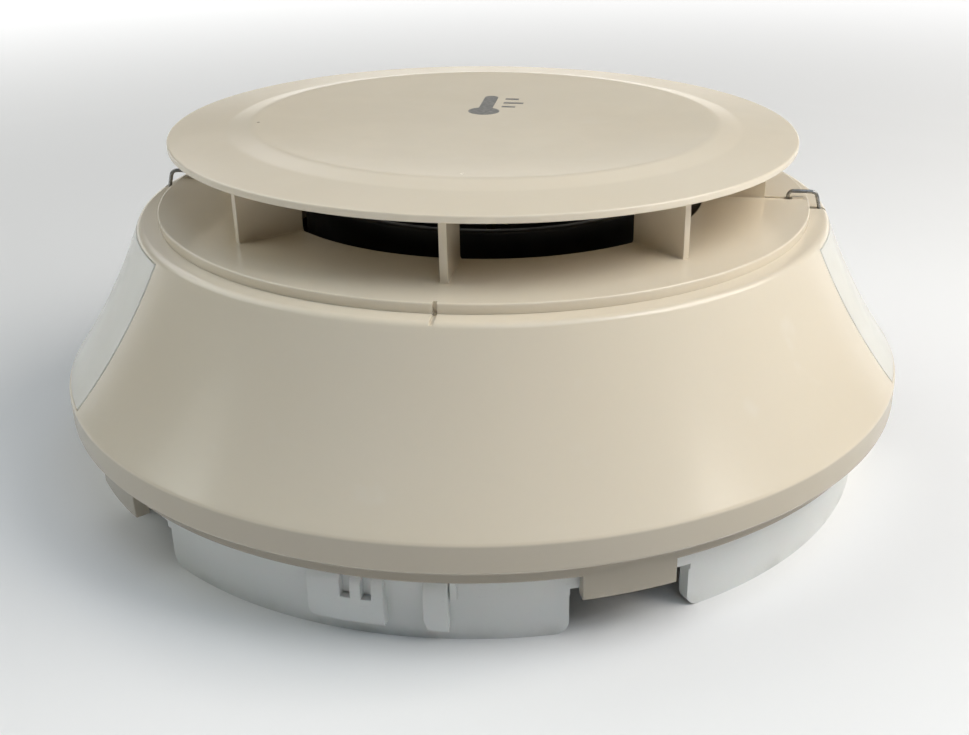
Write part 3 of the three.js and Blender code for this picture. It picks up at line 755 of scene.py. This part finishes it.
CREAM = (0.745, 0.665, 0.535)
cover_finish = moulded_cream("cream cover plastic", CREAM, 0.22)
tray_finish = moulded_cream("cream tray plastic", CREAM, 0.13, 0.4)
disc_finish = moulded_cream("cream disc plastic", CREAM, 0.24, 0.7)
window_finish = frosted_window()
base_finish = moulded_white()
chamber_finish = black_plastic()
rubber_finish = soft_rubber()
wire_finish = metal("drawn steel wire", (0.42, 0.42, 0.41), (0.20, 0.195, 0.185),
                    gloss=0.22, grain_mm=0.12, stretch=(1.0, 0.15, 1.0))
screw_finish = metal("plated screw steel", (0.58, 0.58, 0.56), (0.36, 0.35, 0.33),
                     gloss=0.26, grain_mm=0.30, stretch=(1.0, 1.0, 1.0))
tin_finish = metal("tin plating", (0.70, 0.70, 0.68), (0.48, 0.48, 0.46),
                   gloss=0.28, grain_mm=0.25, stretch=(1.0, 1.0, 0.4))
lead_finish = metal("dull lead brass", (0.42, 0.36, 0.18), (0.25, 0.21, 0.11),
                    gloss=0.34, grain_mm=0.20, stretch=(1.0, 1.0, 0.1))
leaf_finish = metal("rolled spring brass", (0.78, 0.57, 0.27), (0.50, 0.36, 0.18),
                    gloss=0.24, grain_mm=0.22, stretch=(1.0, 0.2, 1.0))
board_finish = circuit_green()
resin_finish = dark_resin()
lamp_finish = clear_resin()
ink_finish = grey_ink()


def at_screws(piece, finish):
    """Copies of what is drawn on the axis, at each of the screws."""
    return ring_of(shifted(piece, y=-SCREW_PLACE), SCREW_COUNT, SCREW_AZIMUTH, finish)


def at_contacts(piece, finish):
    """Copies of what is drawn at the front, at each of the contacts."""
    return ring_of(piece, CONTACT_COUNT, CONTACT_AZIMUTH, finish)


# ---------------------------------------------------------------- cover and windows

# The skirt is the hollow side of a circle through the rim edge and the ledge's edge.
RISE = LEDGE_Z - RIM_Z
RUN = RIM_R - LEDGE_R
CHORD = math.hypot(RISE, RUN)
FLARE_REACH = math.sqrt(FLARE_R**2 - (CHORD / 2) ** 2)
FLARE_CENTRE_R = (RIM_R + LEDGE_R) / 2 + FLARE_REACH * RISE / CHORD
FLARE_CENTRE_Z = (RIM_Z + LEDGE_Z) / 2 + FLARE_REACH * RUN / CHORD


def skirt_radius(z):
    return FLARE_CENTRE_R - math.sqrt(FLARE_R**2 - (z - FLARE_CENTRE_Z) ** 2)


def skirt(out, low, high, steps=28):
    heights = [low + (high - low) * i / steps for i in range(steps + 1)]
    return [(skirt_radius(z) + out, z) for z in heights]


def window_slab(azimuth, half):
    """The upright slab whose meeting with the skirt gives a window its straight sides."""
    return block("slab", 2 * half, 60.0, 0, 2 * LEDGE_Z, 50.0, window_finish, azimuth)


def wire_slot(azimuth, finish):
    """The slot in the ledge that takes a wire's outer leg."""
    return block("slot", 1.0, 3.2, LEDGE_Z - 2.8, LEDGE_Z + 1, WIRE_OUT, finish, azimuth)


def window_ring(name, outer, inner, low, high):
    line = [*skirt(outer, low, high), *reversed(skirt(inner, low, high))]
    return turned(name, line, window_finish, closed=True)


def outer_cover():
    shelf_z = BAND_FOOT - 0.45
    edge = rounded([
        (LIP_IN, LIP_Z, 0),
        (LIP_OUT, LIP_Z, 0.25),
        (LIP_OUT, shelf_z, 0.2),
        (RIM_R - 0.35, shelf_z, 0.2),
        (RIM_R, BAND_FOOT, 0.2),
        (RIM_R, RIM_Z, 0.3),
        (skirt_radius(RIM_Z + 1), RIM_Z + 1, 0),
    ])
    crown = rounded([
        (skirt_radius(LEDGE_Z - 1.2), LEDGE_Z - 1.2, 0),
        (LEDGE_R, LEDGE_Z, 0.7),
        (SEAT_R, LEDGE_Z, 0.15),
        (SEAT_R, LEDGE_Z - SEAT_T, 0),
    ], 6)
    wall = skirt(0, RIM_Z + 1.6, LEDGE_Z - 1.6)
    inside = list(reversed(skirt(-COVER_WALL, RIM_Z, LEDGE_Z - SEAT_T, 12)))
    foot = [(RIM_R - COVER_WALL, RIM_Z - 2), (LIP_IN, RIM_Z - 2)]
    line = [*edge, *wall, *crown, *inside, *foot]
    cover = turned("outer_cover_shell", line, cover_finish, closed=True)
    half = TAB_WIDTH / 2
    head = LIP_Z + 1.2
    outline = [(-half, TAB_BOTTOM), (half, TAB_BOTTOM), (half, head), (-half, head)]
    tab = bent_plate("tabs", outline, LIP_IN, LIP_OUT, cover_finish, edge_mm=0.18)
    settle(tab)
    ring_of(tab, KEY_COUNT, KEY_AZIMUTH - TAB_ASIDE, cover_finish)
    combine(cover, tab, "UNION")
    hole = window_ring("window_opening", 1.5, -COVER_WALL - 1,
                       WINDOW_LOW - WINDOW_GAP, WINDOW_HIGH + WINDOW_GAP)
    slabs = [window_slab(a, WINDOW_HALF + WINDOW_GAP) for a in WINDOW_AZIMUTHS]
    combine(hole, together("slabs", slabs), "INTERSECT")
    combine(cover, hole, "DIFFERENCE")
    slots = [wire_slot(a, cover_finish) for a in WIRE_AZIMUTHS]
    notch = block("notch", NOTCH_WIDTH, 3.4, LEDGE_Z - 0.3, LEDGE_Z + 1, LEDGE_R - 1.0, cover_finish)
    combine(cover, together("cuts", [*slots, notch]), "DIFFERENCE")
    return settle(cover)


def light_window(side, azimuth):
    """A window, and the arm on its inside that brings the light to it."""
    pane = window_ring(f"light_window_{side}", 0.06, -COVER_WALL + 0.3, WINDOW_LOW, WINDOW_HIGH)
    combine(pane, window_slab(azimuth, WINDOW_HALF), "INTERSECT")
    tip = skirt_radius(ARM_HIGH) - COVER_WALL / 2
    arm = block("arm", ARM_WIDTH, tip - ARM_IN, ARM_LOW, ARM_HIGH, (tip + ARM_IN) / 2,
                window_finish, azimuth)
    combine(pane, arm, "UNION")
    nearest = min(WIRE_AZIMUTHS, key=lambda a: abs(a - azimuth))
    combine(pane, wire_slot(nearest, window_finish), "DIFFERENCE")
    return settle(pane)


# ---------------------------------------------------------------- tray and disc


def air_tray():
    spigot = SEAT_R - 0.4
    spigot_foot = LEDGE_Z - SEAT_T
    collar = HOLE_R + COLLAR_WALL
    ring = turned("air_tray", rounded([
        (HOLE_R, COLLAR_FOOT, 0),
        (collar, COLLAR_FOOT, 0.2),
        (collar, TRAY_UNDER, 0.3),
        (spigot - SPIGOT_WALL, TRAY_UNDER, 0.3),
        (spigot - SPIGOT_WALL, spigot_foot, 0.2),
        (spigot, spigot_foot, 0.2),
        (spigot, TRAY_FOOT, 0),
        (TRAY_R, TRAY_FOOT, 0),
        (TRAY_R, TRAY_Z, 0.22),
        (HOLE_R, TRAY_Z, 0.35),
        (HOLE_R, TRAY_Z - 1.0, 0),
    ]), tray_finish, closed=True)
    half = VANE_T / 2
    flank = [(half, DISC_Z - 0.02), (half + 0.01, TRAY_Z + 0.25), (half + 0.06, TRAY_Z + 0.07),
             (half + 0.16, TRAY_Z), (half + 0.16, TRAY_UNDER)]
    section = [*flank, *((-x, z) for x, z in reversed(flank))]
    vane = prism("vanes", section, HOLE_R + 0.05, VANE_OUT, tray_finish)
    settle(vane)
    softened(vane, 0.08)
    ring_of(vane, VANE_COUNT, 0, tray_finish)
    combine(ring, vane, "UNION")
    rib_place = (TRAY_R + VANE_OUT) / 2 - 0.3
    ribs = [block("rib", RIB_T, TRAY_R - VANE_OUT - 0.5, TRAY_FOOT, TRAY_Z + 0.25, rib_place,
                  tray_finish, a) for a in WIRE_AZIMUTHS]
    combine(ring, together("ribs", ribs), "UNION")
    head = TRAY_UNDER + 0.5
    boss_line = rounded([(0, BOSS_FOOT, 0), (BOSS_R, BOSS_FOOT, 0.3), (BOSS_R, head, 0), (0, head, 0)])
    boss = turned("bosses", boss_line, tray_finish, facets=40)
    combine(ring, at_screws(boss, tray_finish), "UNION")
    cuts = [block("wire_hole", WIRE_HOLE, WIRE_HOLE, TRAY_UNDER - 3, TRAY_Z + 1, WIRE_IN,
                  tray_finish, a) for a in WIRE_AZIMUTHS]
    cuts.append(block("notch", NOTCH_WIDTH, 1.1, LEDGE_Z, TRAY_Z + 1, TRAY_R - 0.05, tray_finish))
    combine(ring, together("cuts", cuts), "DIFFERENCE")
    return settle(ring)


def dish_height(r):
    return DISC_CREST_Z - DISC_DISH * (1 - (r / DISC_CREST_R) ** DISH_POWER)


def deflector_disc():
    inner = DISC_CREST_R - 2
    slope = rounded([
        (0, DISC_Z, 0),
        (DISC_R, DISC_Z, 0.12),
        (DISC_R, DISC_EDGE_Z, 0.25),
        (DISC_FLAT_R, DISC_EDGE_Z + 0.52, 0.35),
        (DISC_CREST_R, DISC_CREST_Z, 0.55),
        (inner, dish_height(inner), 0),
    ], 6)
    steps = 24
    radii = [inner * (1 - i / steps) for i in range(1, steps + 1)]
    dish = [(r, dish_height(r)) for r in radii]
    return turned("deflector_disc_top", [*slope, *dish], disc_finish, facets=288)


# A plain thermometer sign: a bulb and stem, with three short marks of a scale beside it.
SIGN_X = -1.7
SIGN_Y = 7.0
SIGN_T = 0.02
BULB_R = 2.15
STEM_HALF = 0.95
STEM_TOP = 8.2
MARK_X = 2.1
MARK_T = 0.75
MARKS = ((2.6, 1.9), (4.9, 2.8), (7.2, 1.9))  # height and length of each


def sign_outlines():
    """The sign's closed outlines, round the middle of the bulb."""
    start = math.asin(STEM_HALF / BULB_R)
    turns = [math.pi - start - (2 * math.pi - 2 * start) * i / 28 for i in range(29)]
    bulb = [(BULB_R * math.sin(a), -BULB_R * math.cos(a)) for a in turns]
    turns = [math.pi * i / 10 for i in range(11)]
    cap = [(-STEM_HALF * math.cos(a), STEM_TOP + STEM_HALF * math.sin(a)) for a in turns]
    marks = [[(MARK_X, y), (MARK_X + length, y), (MARK_X + length, y + MARK_T), (MARK_X, y + MARK_T)]
             for y, length in MARKS]
    return [[*bulb, *cap], *marks]


def printed_sign():
    """The ink stands on the dish, as a thin skin with its foot just under the surface."""
    body = bmesh.new()
    for outline in sign_outlines():
        lower = []
        upper = []
        for x, y in outline:
            px = x + SIGN_X
            py = y + SIGN_Y
            z = dish_height(math.hypot(px, py))
            lower.append(body.verts.new((px, py, z - SIGN_T)))
            upper.append(body.verts.new((px, py, z + SIGN_T)))
        body.faces.new(upper)
        body.faces.new(list(reversed(lower)))
        count = len(outline)
        for i in range(count):
            k = (i + 1) % count
            body.faces.new((lower[i], lower[k], upper[k], upper[i]))
    bmesh.ops.triangulate(body, faces=body.faces)
    bmesh.ops.scale(body, vec=(MM, MM, MM), verts=body.verts)
    mesh = bpy.data.meshes.new("thermometer_sign")
    body.to_mesh(mesh)
    body.free()
    mesh.materials.append(ink_finish)
    return settle(new_piece("thermometer_sign", mesh))


# ---------------------------------------------------------------- wires, chamber, leads


def smooth_route(corners, bend, steps=6):
    route = []
    for i, corner in enumerate(corners):
        at = Vector(corner)
        if i in (0, len(corners) - 1):
            route.append(at)
            continue
        before = Vector(corners[i - 1]) - at
        after = Vector(corners[i + 1]) - at
        a = at + before.normalized() * min(bend, before.length * 0.48)
        b = at + after.normalized() * min(bend, after.length * 0.48)
        for k in range(steps + 1):
            t = k / steps
            route.append(a * (1 - t) ** 2 + at * 2 * t * (1 - t) + b * t * t)
    return route


def drawn_wire(name, route, radius, sides, finish):
    edges = [(i, i + 1) for i in range(len(route) - 1)]
    piece = new_piece(name, mesh_of(name, route, edges))
    with_nodes(piece, WIRE, Radius=radius * MM, Sides=sides, Material=finish)
    return settle(piece)


def retaining_wire(side, azimuth):
    crest = top(f"retaining_wire_{side}") - WIRE_R
    corners = [
        (WIRE_OUT, LEDGE_Z - SEAT_T - WIRE_PAST),
        (WIRE_OUT, LEDGE_Z),
        (WIRE_SHOULDER, crest),
        (WIRE_IN, crest),
        (WIRE_IN, TRAY_UNDER - WIRE_PAST),
    ]
    route = smooth_route([on_ring(r, azimuth, z) for r, z in corners], WIRE_BEND)
    return drawn_wire(f"wire_{side}", route, WIRE_R, 16, wire_finish)


def sensing_cup():
    floor = CUP_FLOOR
    under = floor - CUP_WALL
    shell = turned("sensing_chamber", rounded([
        (CUP_BORE, under, 0),
        (CUP_FLANGE, under, 0.2),
        (CUP_FLANGE, floor, 0.2),
        (CUP_R, floor, 0.3),
        (CUP_R, CUP_TOP, 0.35),
        (CUP_R - CUP_WALL, CUP_TOP, 0.3),
        (CUP_R - CUP_WALL, floor, 0.6),
        (CUP_BORE, floor, 0.2),
    ]), chamber_finish, closed=True)
    head = floor - 0.6
    line = [(0, LEG_FOOT), (LEG_R, LEG_FOOT), (LEG_R, head), (0, head)]
    leg = shifted(turned("legs", line, chamber_finish, facets=32), y=3 - CUP_FLANGE)
    ring_of(leg, 3, 0, chamber_finish)
    combine(shell, leg, "UNION")
    return settle(shell)


def sensing_bead():
    low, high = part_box("thermistor_bead")
    foot = low.z / MM
    tall = high.z / MM - foot
    radius = high.x / MM
    turns = [math.pi * i / 20 for i in range(21)]
    line = [(radius * math.sin(a), foot + tall * (1 - math.cos(a)) / 2) for a in turns]
    line[0] = (0.0, foot)
    line[-1] = (0.0, foot + tall)
    return turned("sensing_bead", line, resin_finish, facets=40)


def sensing_lead(side, x):
    low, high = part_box(f"thermistor_lead_{side}")
    route = [(x, 0, z) for z in (low.z / MM, 30.0, high.z / MM)]
    return drawn_wire(f"sensing_lead_{side}", route, LEAD_R, 16, lead_finish)


# ---------------------------------------------------------------- base


def lug_lean(z):
    """How far a lug reaches at a height: it leans back to the wall above its head."""
    if z <= LUG_HEAD:
        return LUG_OUT
    share = min(1.0, (z - LUG_HEAD) / (LUG_CROWN - LUG_HEAD))
    return LUG_OUT + (BASE_R + BASE_STEP + 0.02 - LUG_OUT) * share


def lug_set(section):
    """A broad lug with two slots, a narrow nub beside it, and a thin rib."""
    crown = LUG_CROWN
    slot = 5.1
    broad = [(-14.95, 3.0), (-14.8, 2.4), (-14.3, 2.05), (-13.8, 2.0), (-5.25, 2.0), (-5.25, crown),
             (-6.8, crown), (-6.8, slot), (-8.0, slot), (-8.0, crown), (-9.4, crown), (-9.4, slot),
             (-10.6, slot), (-10.6, crown), (-14.95, crown)]
    nub = [(-0.7, 3.2), (-0.2, 1.9), (0.4, 1.7), (2.3, 1.7), (2.3, crown), (-0.7, crown)]
    rib = [(2.45, 5.6), (3.3, 5.6), (3.3, crown), (2.45, crown)]
    inner = BASE_R - 0.5
    made = [
        bent_plate("lug", broad, inner, LUG_OUT, base_finish, edge_mm=0.16, lean=lug_lean),
        bent_plate("lug", nub, inner, LUG_OUT, base_finish, edge_mm=0.16, lean=lug_lean),
        bent_plate("lug", rib, inner, BASE_R + 0.75, base_finish, edge_mm=0.1),
    ]
    return [settle(turned_by(piece, 360.0 * section / KEY_COUNT)) for piece in made]


def key_ring(section):
    """Closes five equal sections, open at their ends, to one ring."""
    with_nodes(section, RING, Count=KEY_COUNT, First_azimuth=KEY_AZIMUTH + KEY_PITCH_HALF,
               Material=base_finish)
    return settle(section)


def base_wall():
    """The bayonet wall. A section runs from the middle of one gap to the middle of the next."""
    half = KEY_PITCH_HALF
    side = KEY_SIDE
    corner = KEY_CORNER / math.radians(BASE_R)
    low = [(-side + corner * (1 - math.cos(t)), KEY_CORNER * (1 - math.sin(t)))
           for t in (math.pi / 2 * k / 5 for k in range(6))]
    right = [(-a, z) for a, z in reversed(low)]
    outline = [(-half, KEY_TOP), (-side, KEY_TOP), *low, *right, (side, KEY_TOP), (half, KEY_TOP),
               (half, BASE_TOP), (-half, BASE_TOP)]
    return key_ring(bent_plate("bayonet_base", outline, BASE_R - BASE_WALL, BASE_R, base_finish,
                               open_ends=True))


def base_band():
    """The band that stands out above the step in the wall."""
    half = KEY_PITCH_HALF
    side = KEY_SIDE
    head = BASE_TOP - 0.01
    outline = [(-side, BASE_STEP_Z), (side, BASE_STEP_Z), (side, KEY_TOP), (half, KEY_TOP),
               (half, head), (-half, head), (-half, KEY_TOP), (-side, KEY_TOP)]
    return key_ring(bent_plate("band", outline, BASE_R - 0.6, BASE_R + BASE_STEP, base_finish,
                               open_ends=True))


def base_floor():
    """The floor with its stiffening rings. Its edge goes a little way into the wall."""
    edge = BASE_R - BASE_WALL + 0.6
    low = BASE_FLOOR_Z - BASE_RIB
    ribs = []
    for r in BASE_RIBS:
        ribs += [(r + BASE_RIB, BASE_FLOOR_Z, 0.15), (r + BASE_RIB, low, 0.2),
                 (r, low, 0.2), (r, BASE_FLOOR_Z, 0.15)]
    line = rounded([(0, BASE_TOP, 0), (edge, BASE_TOP, 0), (edge, BASE_FLOOR_Z, 0),
                    *ribs, (0, BASE_FLOOR_Z, 0)], 3)
    return turned("base_floor", line, base_finish)


def bayonet_base():
    body = base_wall()
    combine(body, base_floor(), "UNION")
    combine(body, base_band(), "UNION")
    for section in LUG_SECTIONS:
        for piece in lug_set(section):
            combine(body, piece, "UNION")
    line = [(0, 8), (SCREW_BORE, 8), (SCREW_BORE, 12), (0, 12)]
    holes = at_screws(turned("screw_hole", line, base_finish, facets=24), base_finish)
    pins = block("pin_hole", 1.8, 1.8, 8, 12, CONTACT_PLACE, base_finish)
    at_contacts(shifted(pins, x=PIN_ASIDE), base_finish)
    combine(body, together("cuts", [holes, pins]), "DIFFERENCE")
    return settle(body)


def base_screws():
    """Pan heads with a cross recess, and the shank above them."""
    seat = top("base_screw_1")
    low = bottom("base_screw_1")
    under = BASE_FLOOR_Z - GAP
    screw = turned("base_screws", rounded([
        (0, low, 0),
        (1.9, low, 0.5),
        (SCREW_HEAD_R, low + 0.8, 0.5),
        (SCREW_HEAD_R, under, 0.15),
        (SCREW_R, under, 0.1),
        (SCREW_R, seat - 1, 0.2),
        (0, seat, 0),
    ]), screw_finish, facets=48)
    w = 0.42
    section = [(-w, low - 1), (w, low - 1), (w * 0.7, low + 1.05), (-w * 0.7, low + 1.05)]
    cross = [prism("cross", section, -1.6, 1.6, screw_finish, a) for a in (0, 90)]
    combine(cross[0], cross[1], "UNION")
    combine(screw, cross[0], "DIFFERENCE")
    return at_screws(screw, screw_finish)


def terminals():
    low = bottom("contact_terminal_1")
    high = top("contact_terminal_1")
    pad = block("contact_terminals", PAD_LENGTH, CONTACT_WIDTH, low, low + PAD_T, CONTACT_PLACE,
                tin_finish)
    shifted(pad, x=PIN_ASIDE)
    pin = block("pin", PIN_WIDTH, PIN_WIDTH, low + 0.1, high, CONTACT_PLACE, tin_finish)
    combine(pad, shifted(pin, x=PIN_ASIDE), "UNION")
    softened(pad, 0.12)
    return at_contacts(pad, tin_finish)


def contact_leaf(number):
    """A leaf that runs flat under its pad, slopes down and turns up at the tip."""
    root = bottom("contact_terminal_1") - GAP - LEAF_T
    under = [(LEAF_ROOT, root)]
    steps = 28
    for i in range(steps + 1):
        share = i / steps
        drop = LEAF_DROP * math.sin(share * 1.15 * math.pi / 2)
        under.append((-LEAF_LENGTH * share, root - drop))
    crown = [(x, z + LEAF_T) for x, z in reversed(under)]
    half = CONTACT_WIDTH / 2
    leaf = prism(f"contact_leaf_{number}", [*under, *crown], CONTACT_PLACE - half,
                 CONTACT_PLACE + half, leaf_finish)
    settle(leaf)
    softened(leaf, 0.1)
    return ring_of(leaf, 1, CONTACT_AZIMUTH + 90.0 * (number - 1), leaf_finish)


# ---------------------------------------------------------------- assembly

HEAD = "head"


def place(piece, slot, *nodes, body=HEAD):
    """Puts a finished piece on its body, in the stead of the CAD nodes it replaces."""
    evenly_shaded(piece)
    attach(piece, body)
    if nodes:
        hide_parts(*nodes)


place(outer_cover(), "cover", "outer_cover")
for side, azimuth in zip(("right", "left"), WINDOW_AZIMUTHS):
    place(light_window(side, azimuth), "window", f"light_guide_{side}")
place(air_tray(), "cover", "vane_tray")
place(deflector_disc(), "cover", "deflector_disc")
place(printed_sign(), None)
for side, azimuth in zip(("right", "left"), WIRE_AZIMUTHS):
    place(retaining_wire(side, azimuth), "wire", f"retaining_wire_{side}")
place(sensing_cup(), "chamber", "sensor_cup")
place(sensing_bead(), "resin", "thermistor_bead")
for side, x in (("a", -LEAD_ASIDE), ("b", LEAD_ASIDE)):
    place(sensing_lead(side, x), "leads", f"thermistor_lead_{side}")
place(bayonet_base(), "base", "base_body")
place(base_screws(), "tinned", "base_screw_1", "base_screw_2", "base_screw_3")
place(terminals(), "tinned", *[f"contact_terminal_{i}" for i in (1, 2, 3, 4)])
for number in (1, 2, 3, 4):
    place(contact_leaf(number), "contact", f"contact_spring_{number}", body=f"leaf_{number}")

# The CAD pieces that keep their shape and only get their finish here.
CARRIED = {
    rubber_finish: ("cup_gasket", "lead_grommet"),
    board_finish: ("circuit_board",),
    resin_finish: ("processor_chip", "bus_driver_chip", "rectifier", "bus_inductor",
                   "reference_thermistor"),
    tin_finish: ("shield_can", "crystal", "storage_capacitor"),
    leaf_finish: ("filter_capacitor",),
    lamp_finish: ("led_right", "led_left"),
}
for finish, names in CARRIED.items():
    for name in names:
        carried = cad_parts[name]
        carried.data.materials.clear()
        carried.data.materials.append(finish)


# ---------------------------------------------------------------- floor, light, camera


STUDIO_R = 2400.0  # the floor and the bright wall round it


def floor():
    """A pale floor that grows brighter away from the object, as if lit from below at its edges."""
    steps = 64
    ring = [on_ring(STUDIO_R, 360.0 * i / steps, 0) for i in range(steps)]
    mesh = mesh_of("floor", ring, (), [tuple(range(steps))])
    piece = new_piece("floor", mesh)
    f = Finish("pale floor", Specular_IOR_Level=0.1)
    f.colour(f.mix(f.noise(400.0, 2.0), (0.88, 0.88, 0.88), (0.86, 0.86, 0.86)))
    f.roughness(f.ramp(f.noise(60.0, 2.0), 0.3, 0.7, 0.75, 0.85))
    radius, _ = f.radius_and_height()
    glow = f.ramp(radius, 110.0, 620.0, 0.0, 0.80)
    f.shader.inputs["Emission Color"].default_value = (1.0, 1.0, 1.0, 1.0)
    f.tree.links.new(glow, f.shader.inputs["Emission Strength"])
    mesh.materials.append(f.material)


def bright_wall():
    """A white dome behind everything. Only the camera sees it, so it casts no light."""
    steps = 24
    rises = [math.pi / 2 * i / steps for i in range(steps)]
    arc = [(STUDIO_R * math.cos(a), STUDIO_R * math.sin(a)) for a in rises]
    f = Finish("bright wall", Base_Color=(0.9, 0.9, 0.9, 1.0), Emission_Color=(1.0, 1.0, 1.0, 1.0),
               Emission_Strength=0.86)
    piece = turned("bright_wall", [*arc, (0, STUDIO_R)], f.material, facets=64)
    piece.visible_diffuse = False
    piece.visible_glossy = False
    piece.visible_transmission = False
    piece.visible_shadow = False


def soft_light(name, place_m, aim_m, size_m, watts, colour):
    """A rectangular soft box, size_m wide and high, that faces aim_m."""
    data = bpy.data.lights.new(name, "AREA")
    data.shape = "RECTANGLE"
    data.size, data.size_y = size_m
    data.energy = watts
    data.color = colour
    lamp = bpy.data.objects.new(name, data)
    lamp.location = place_m
    lamp.rotation_euler = (Vector(aim_m) - Vector(place_m)).to_track_quat("-Z", "Y").to_euler()
    bpy.context.scene.collection.objects.link(lamp)


def lamp_place(azimuth, elevation, distance):
    """A place in metres, at an azimuth and an elevation in degrees from the object."""
    rise = math.radians(elevation)
    return on_ring(distance * math.cos(rise), azimuth, distance * math.sin(rise))


def studio_lights():
    """Soft boxes at the left, behind, and near on the right and in front."""
    middle = (0, 0, 0.02)
    soft_light("left", lamp_place(270, 35, 0.95), middle, (0.7, 0.6), 2.9, (0.96, 1.0, 0.945))
    soft_light("left rear", lamp_place(225, 40, 0.95), middle, (0.6, 0.6), 1.5, (0.99, 0.97, 1.0))
    soft_light("near right", lamp_place(85, 45, 0.40), middle, (0.3, 0.25), 1.3, (1.0, 0.95, 0.88))
    soft_light("low rear", lamp_place(180, 4.5, 1.1), middle, (1.8, 0.17), 1.2, (1.0, 0.95, 0.86))
    soft_light("near front", lamp_place(40, 60, 0.35), middle, (0.25, 0.25), 0.38, (0.72, 0.85, 1.0))


def camera():
    data = bpy.data.cameras.new("camera")
    data.sensor_width = 36.0
    data.lens = 44.63
    data.shift_x = -0.1089
    data.clip_start = 0.005
    data.clip_end = 20.0
    place_m = (0.022048, -0.156882, 0.081245)
    yaw, pitch, roll = (math.radians(a) for a in (-2.9445, 24.5417, 1.1102))
    ahead = Vector((math.sin(yaw) * math.cos(pitch), math.cos(yaw) * math.cos(pitch),
                    -math.sin(pitch)))
    level = Vector((math.cos(yaw), -math.sin(yaw), 0.0))
    plumb = level.cross(ahead)
    right = level * math.cos(roll) + plumb * math.sin(roll)
    up = plumb * math.cos(roll) - level * math.sin(roll)
    turn = Matrix((right, up, -ahead)).transposed().to_4x4()
    made = bpy.data.objects.new("camera", data)
    made.matrix_world = Matrix.Translation(place_m) @ turn
    bpy.context.scene.collection.objects.link(made)
    bpy.context.scene.camera = made


def dim_room():
    world = bpy.data.worlds.new("dim room")
    world.use_nodes = True
    air = world.node_tree.nodes["Background"].inputs
    air["Color"].default_value = (0.96, 0.98, 1.0, 1.0)
    air["Strength"].default_value = 0.03
    bpy.context.scene.world = world


floor()
bright_wall()
camera()
studio_lights()
dim_room()
bpy.context.scene.view_settings.view_transform = "Standard"
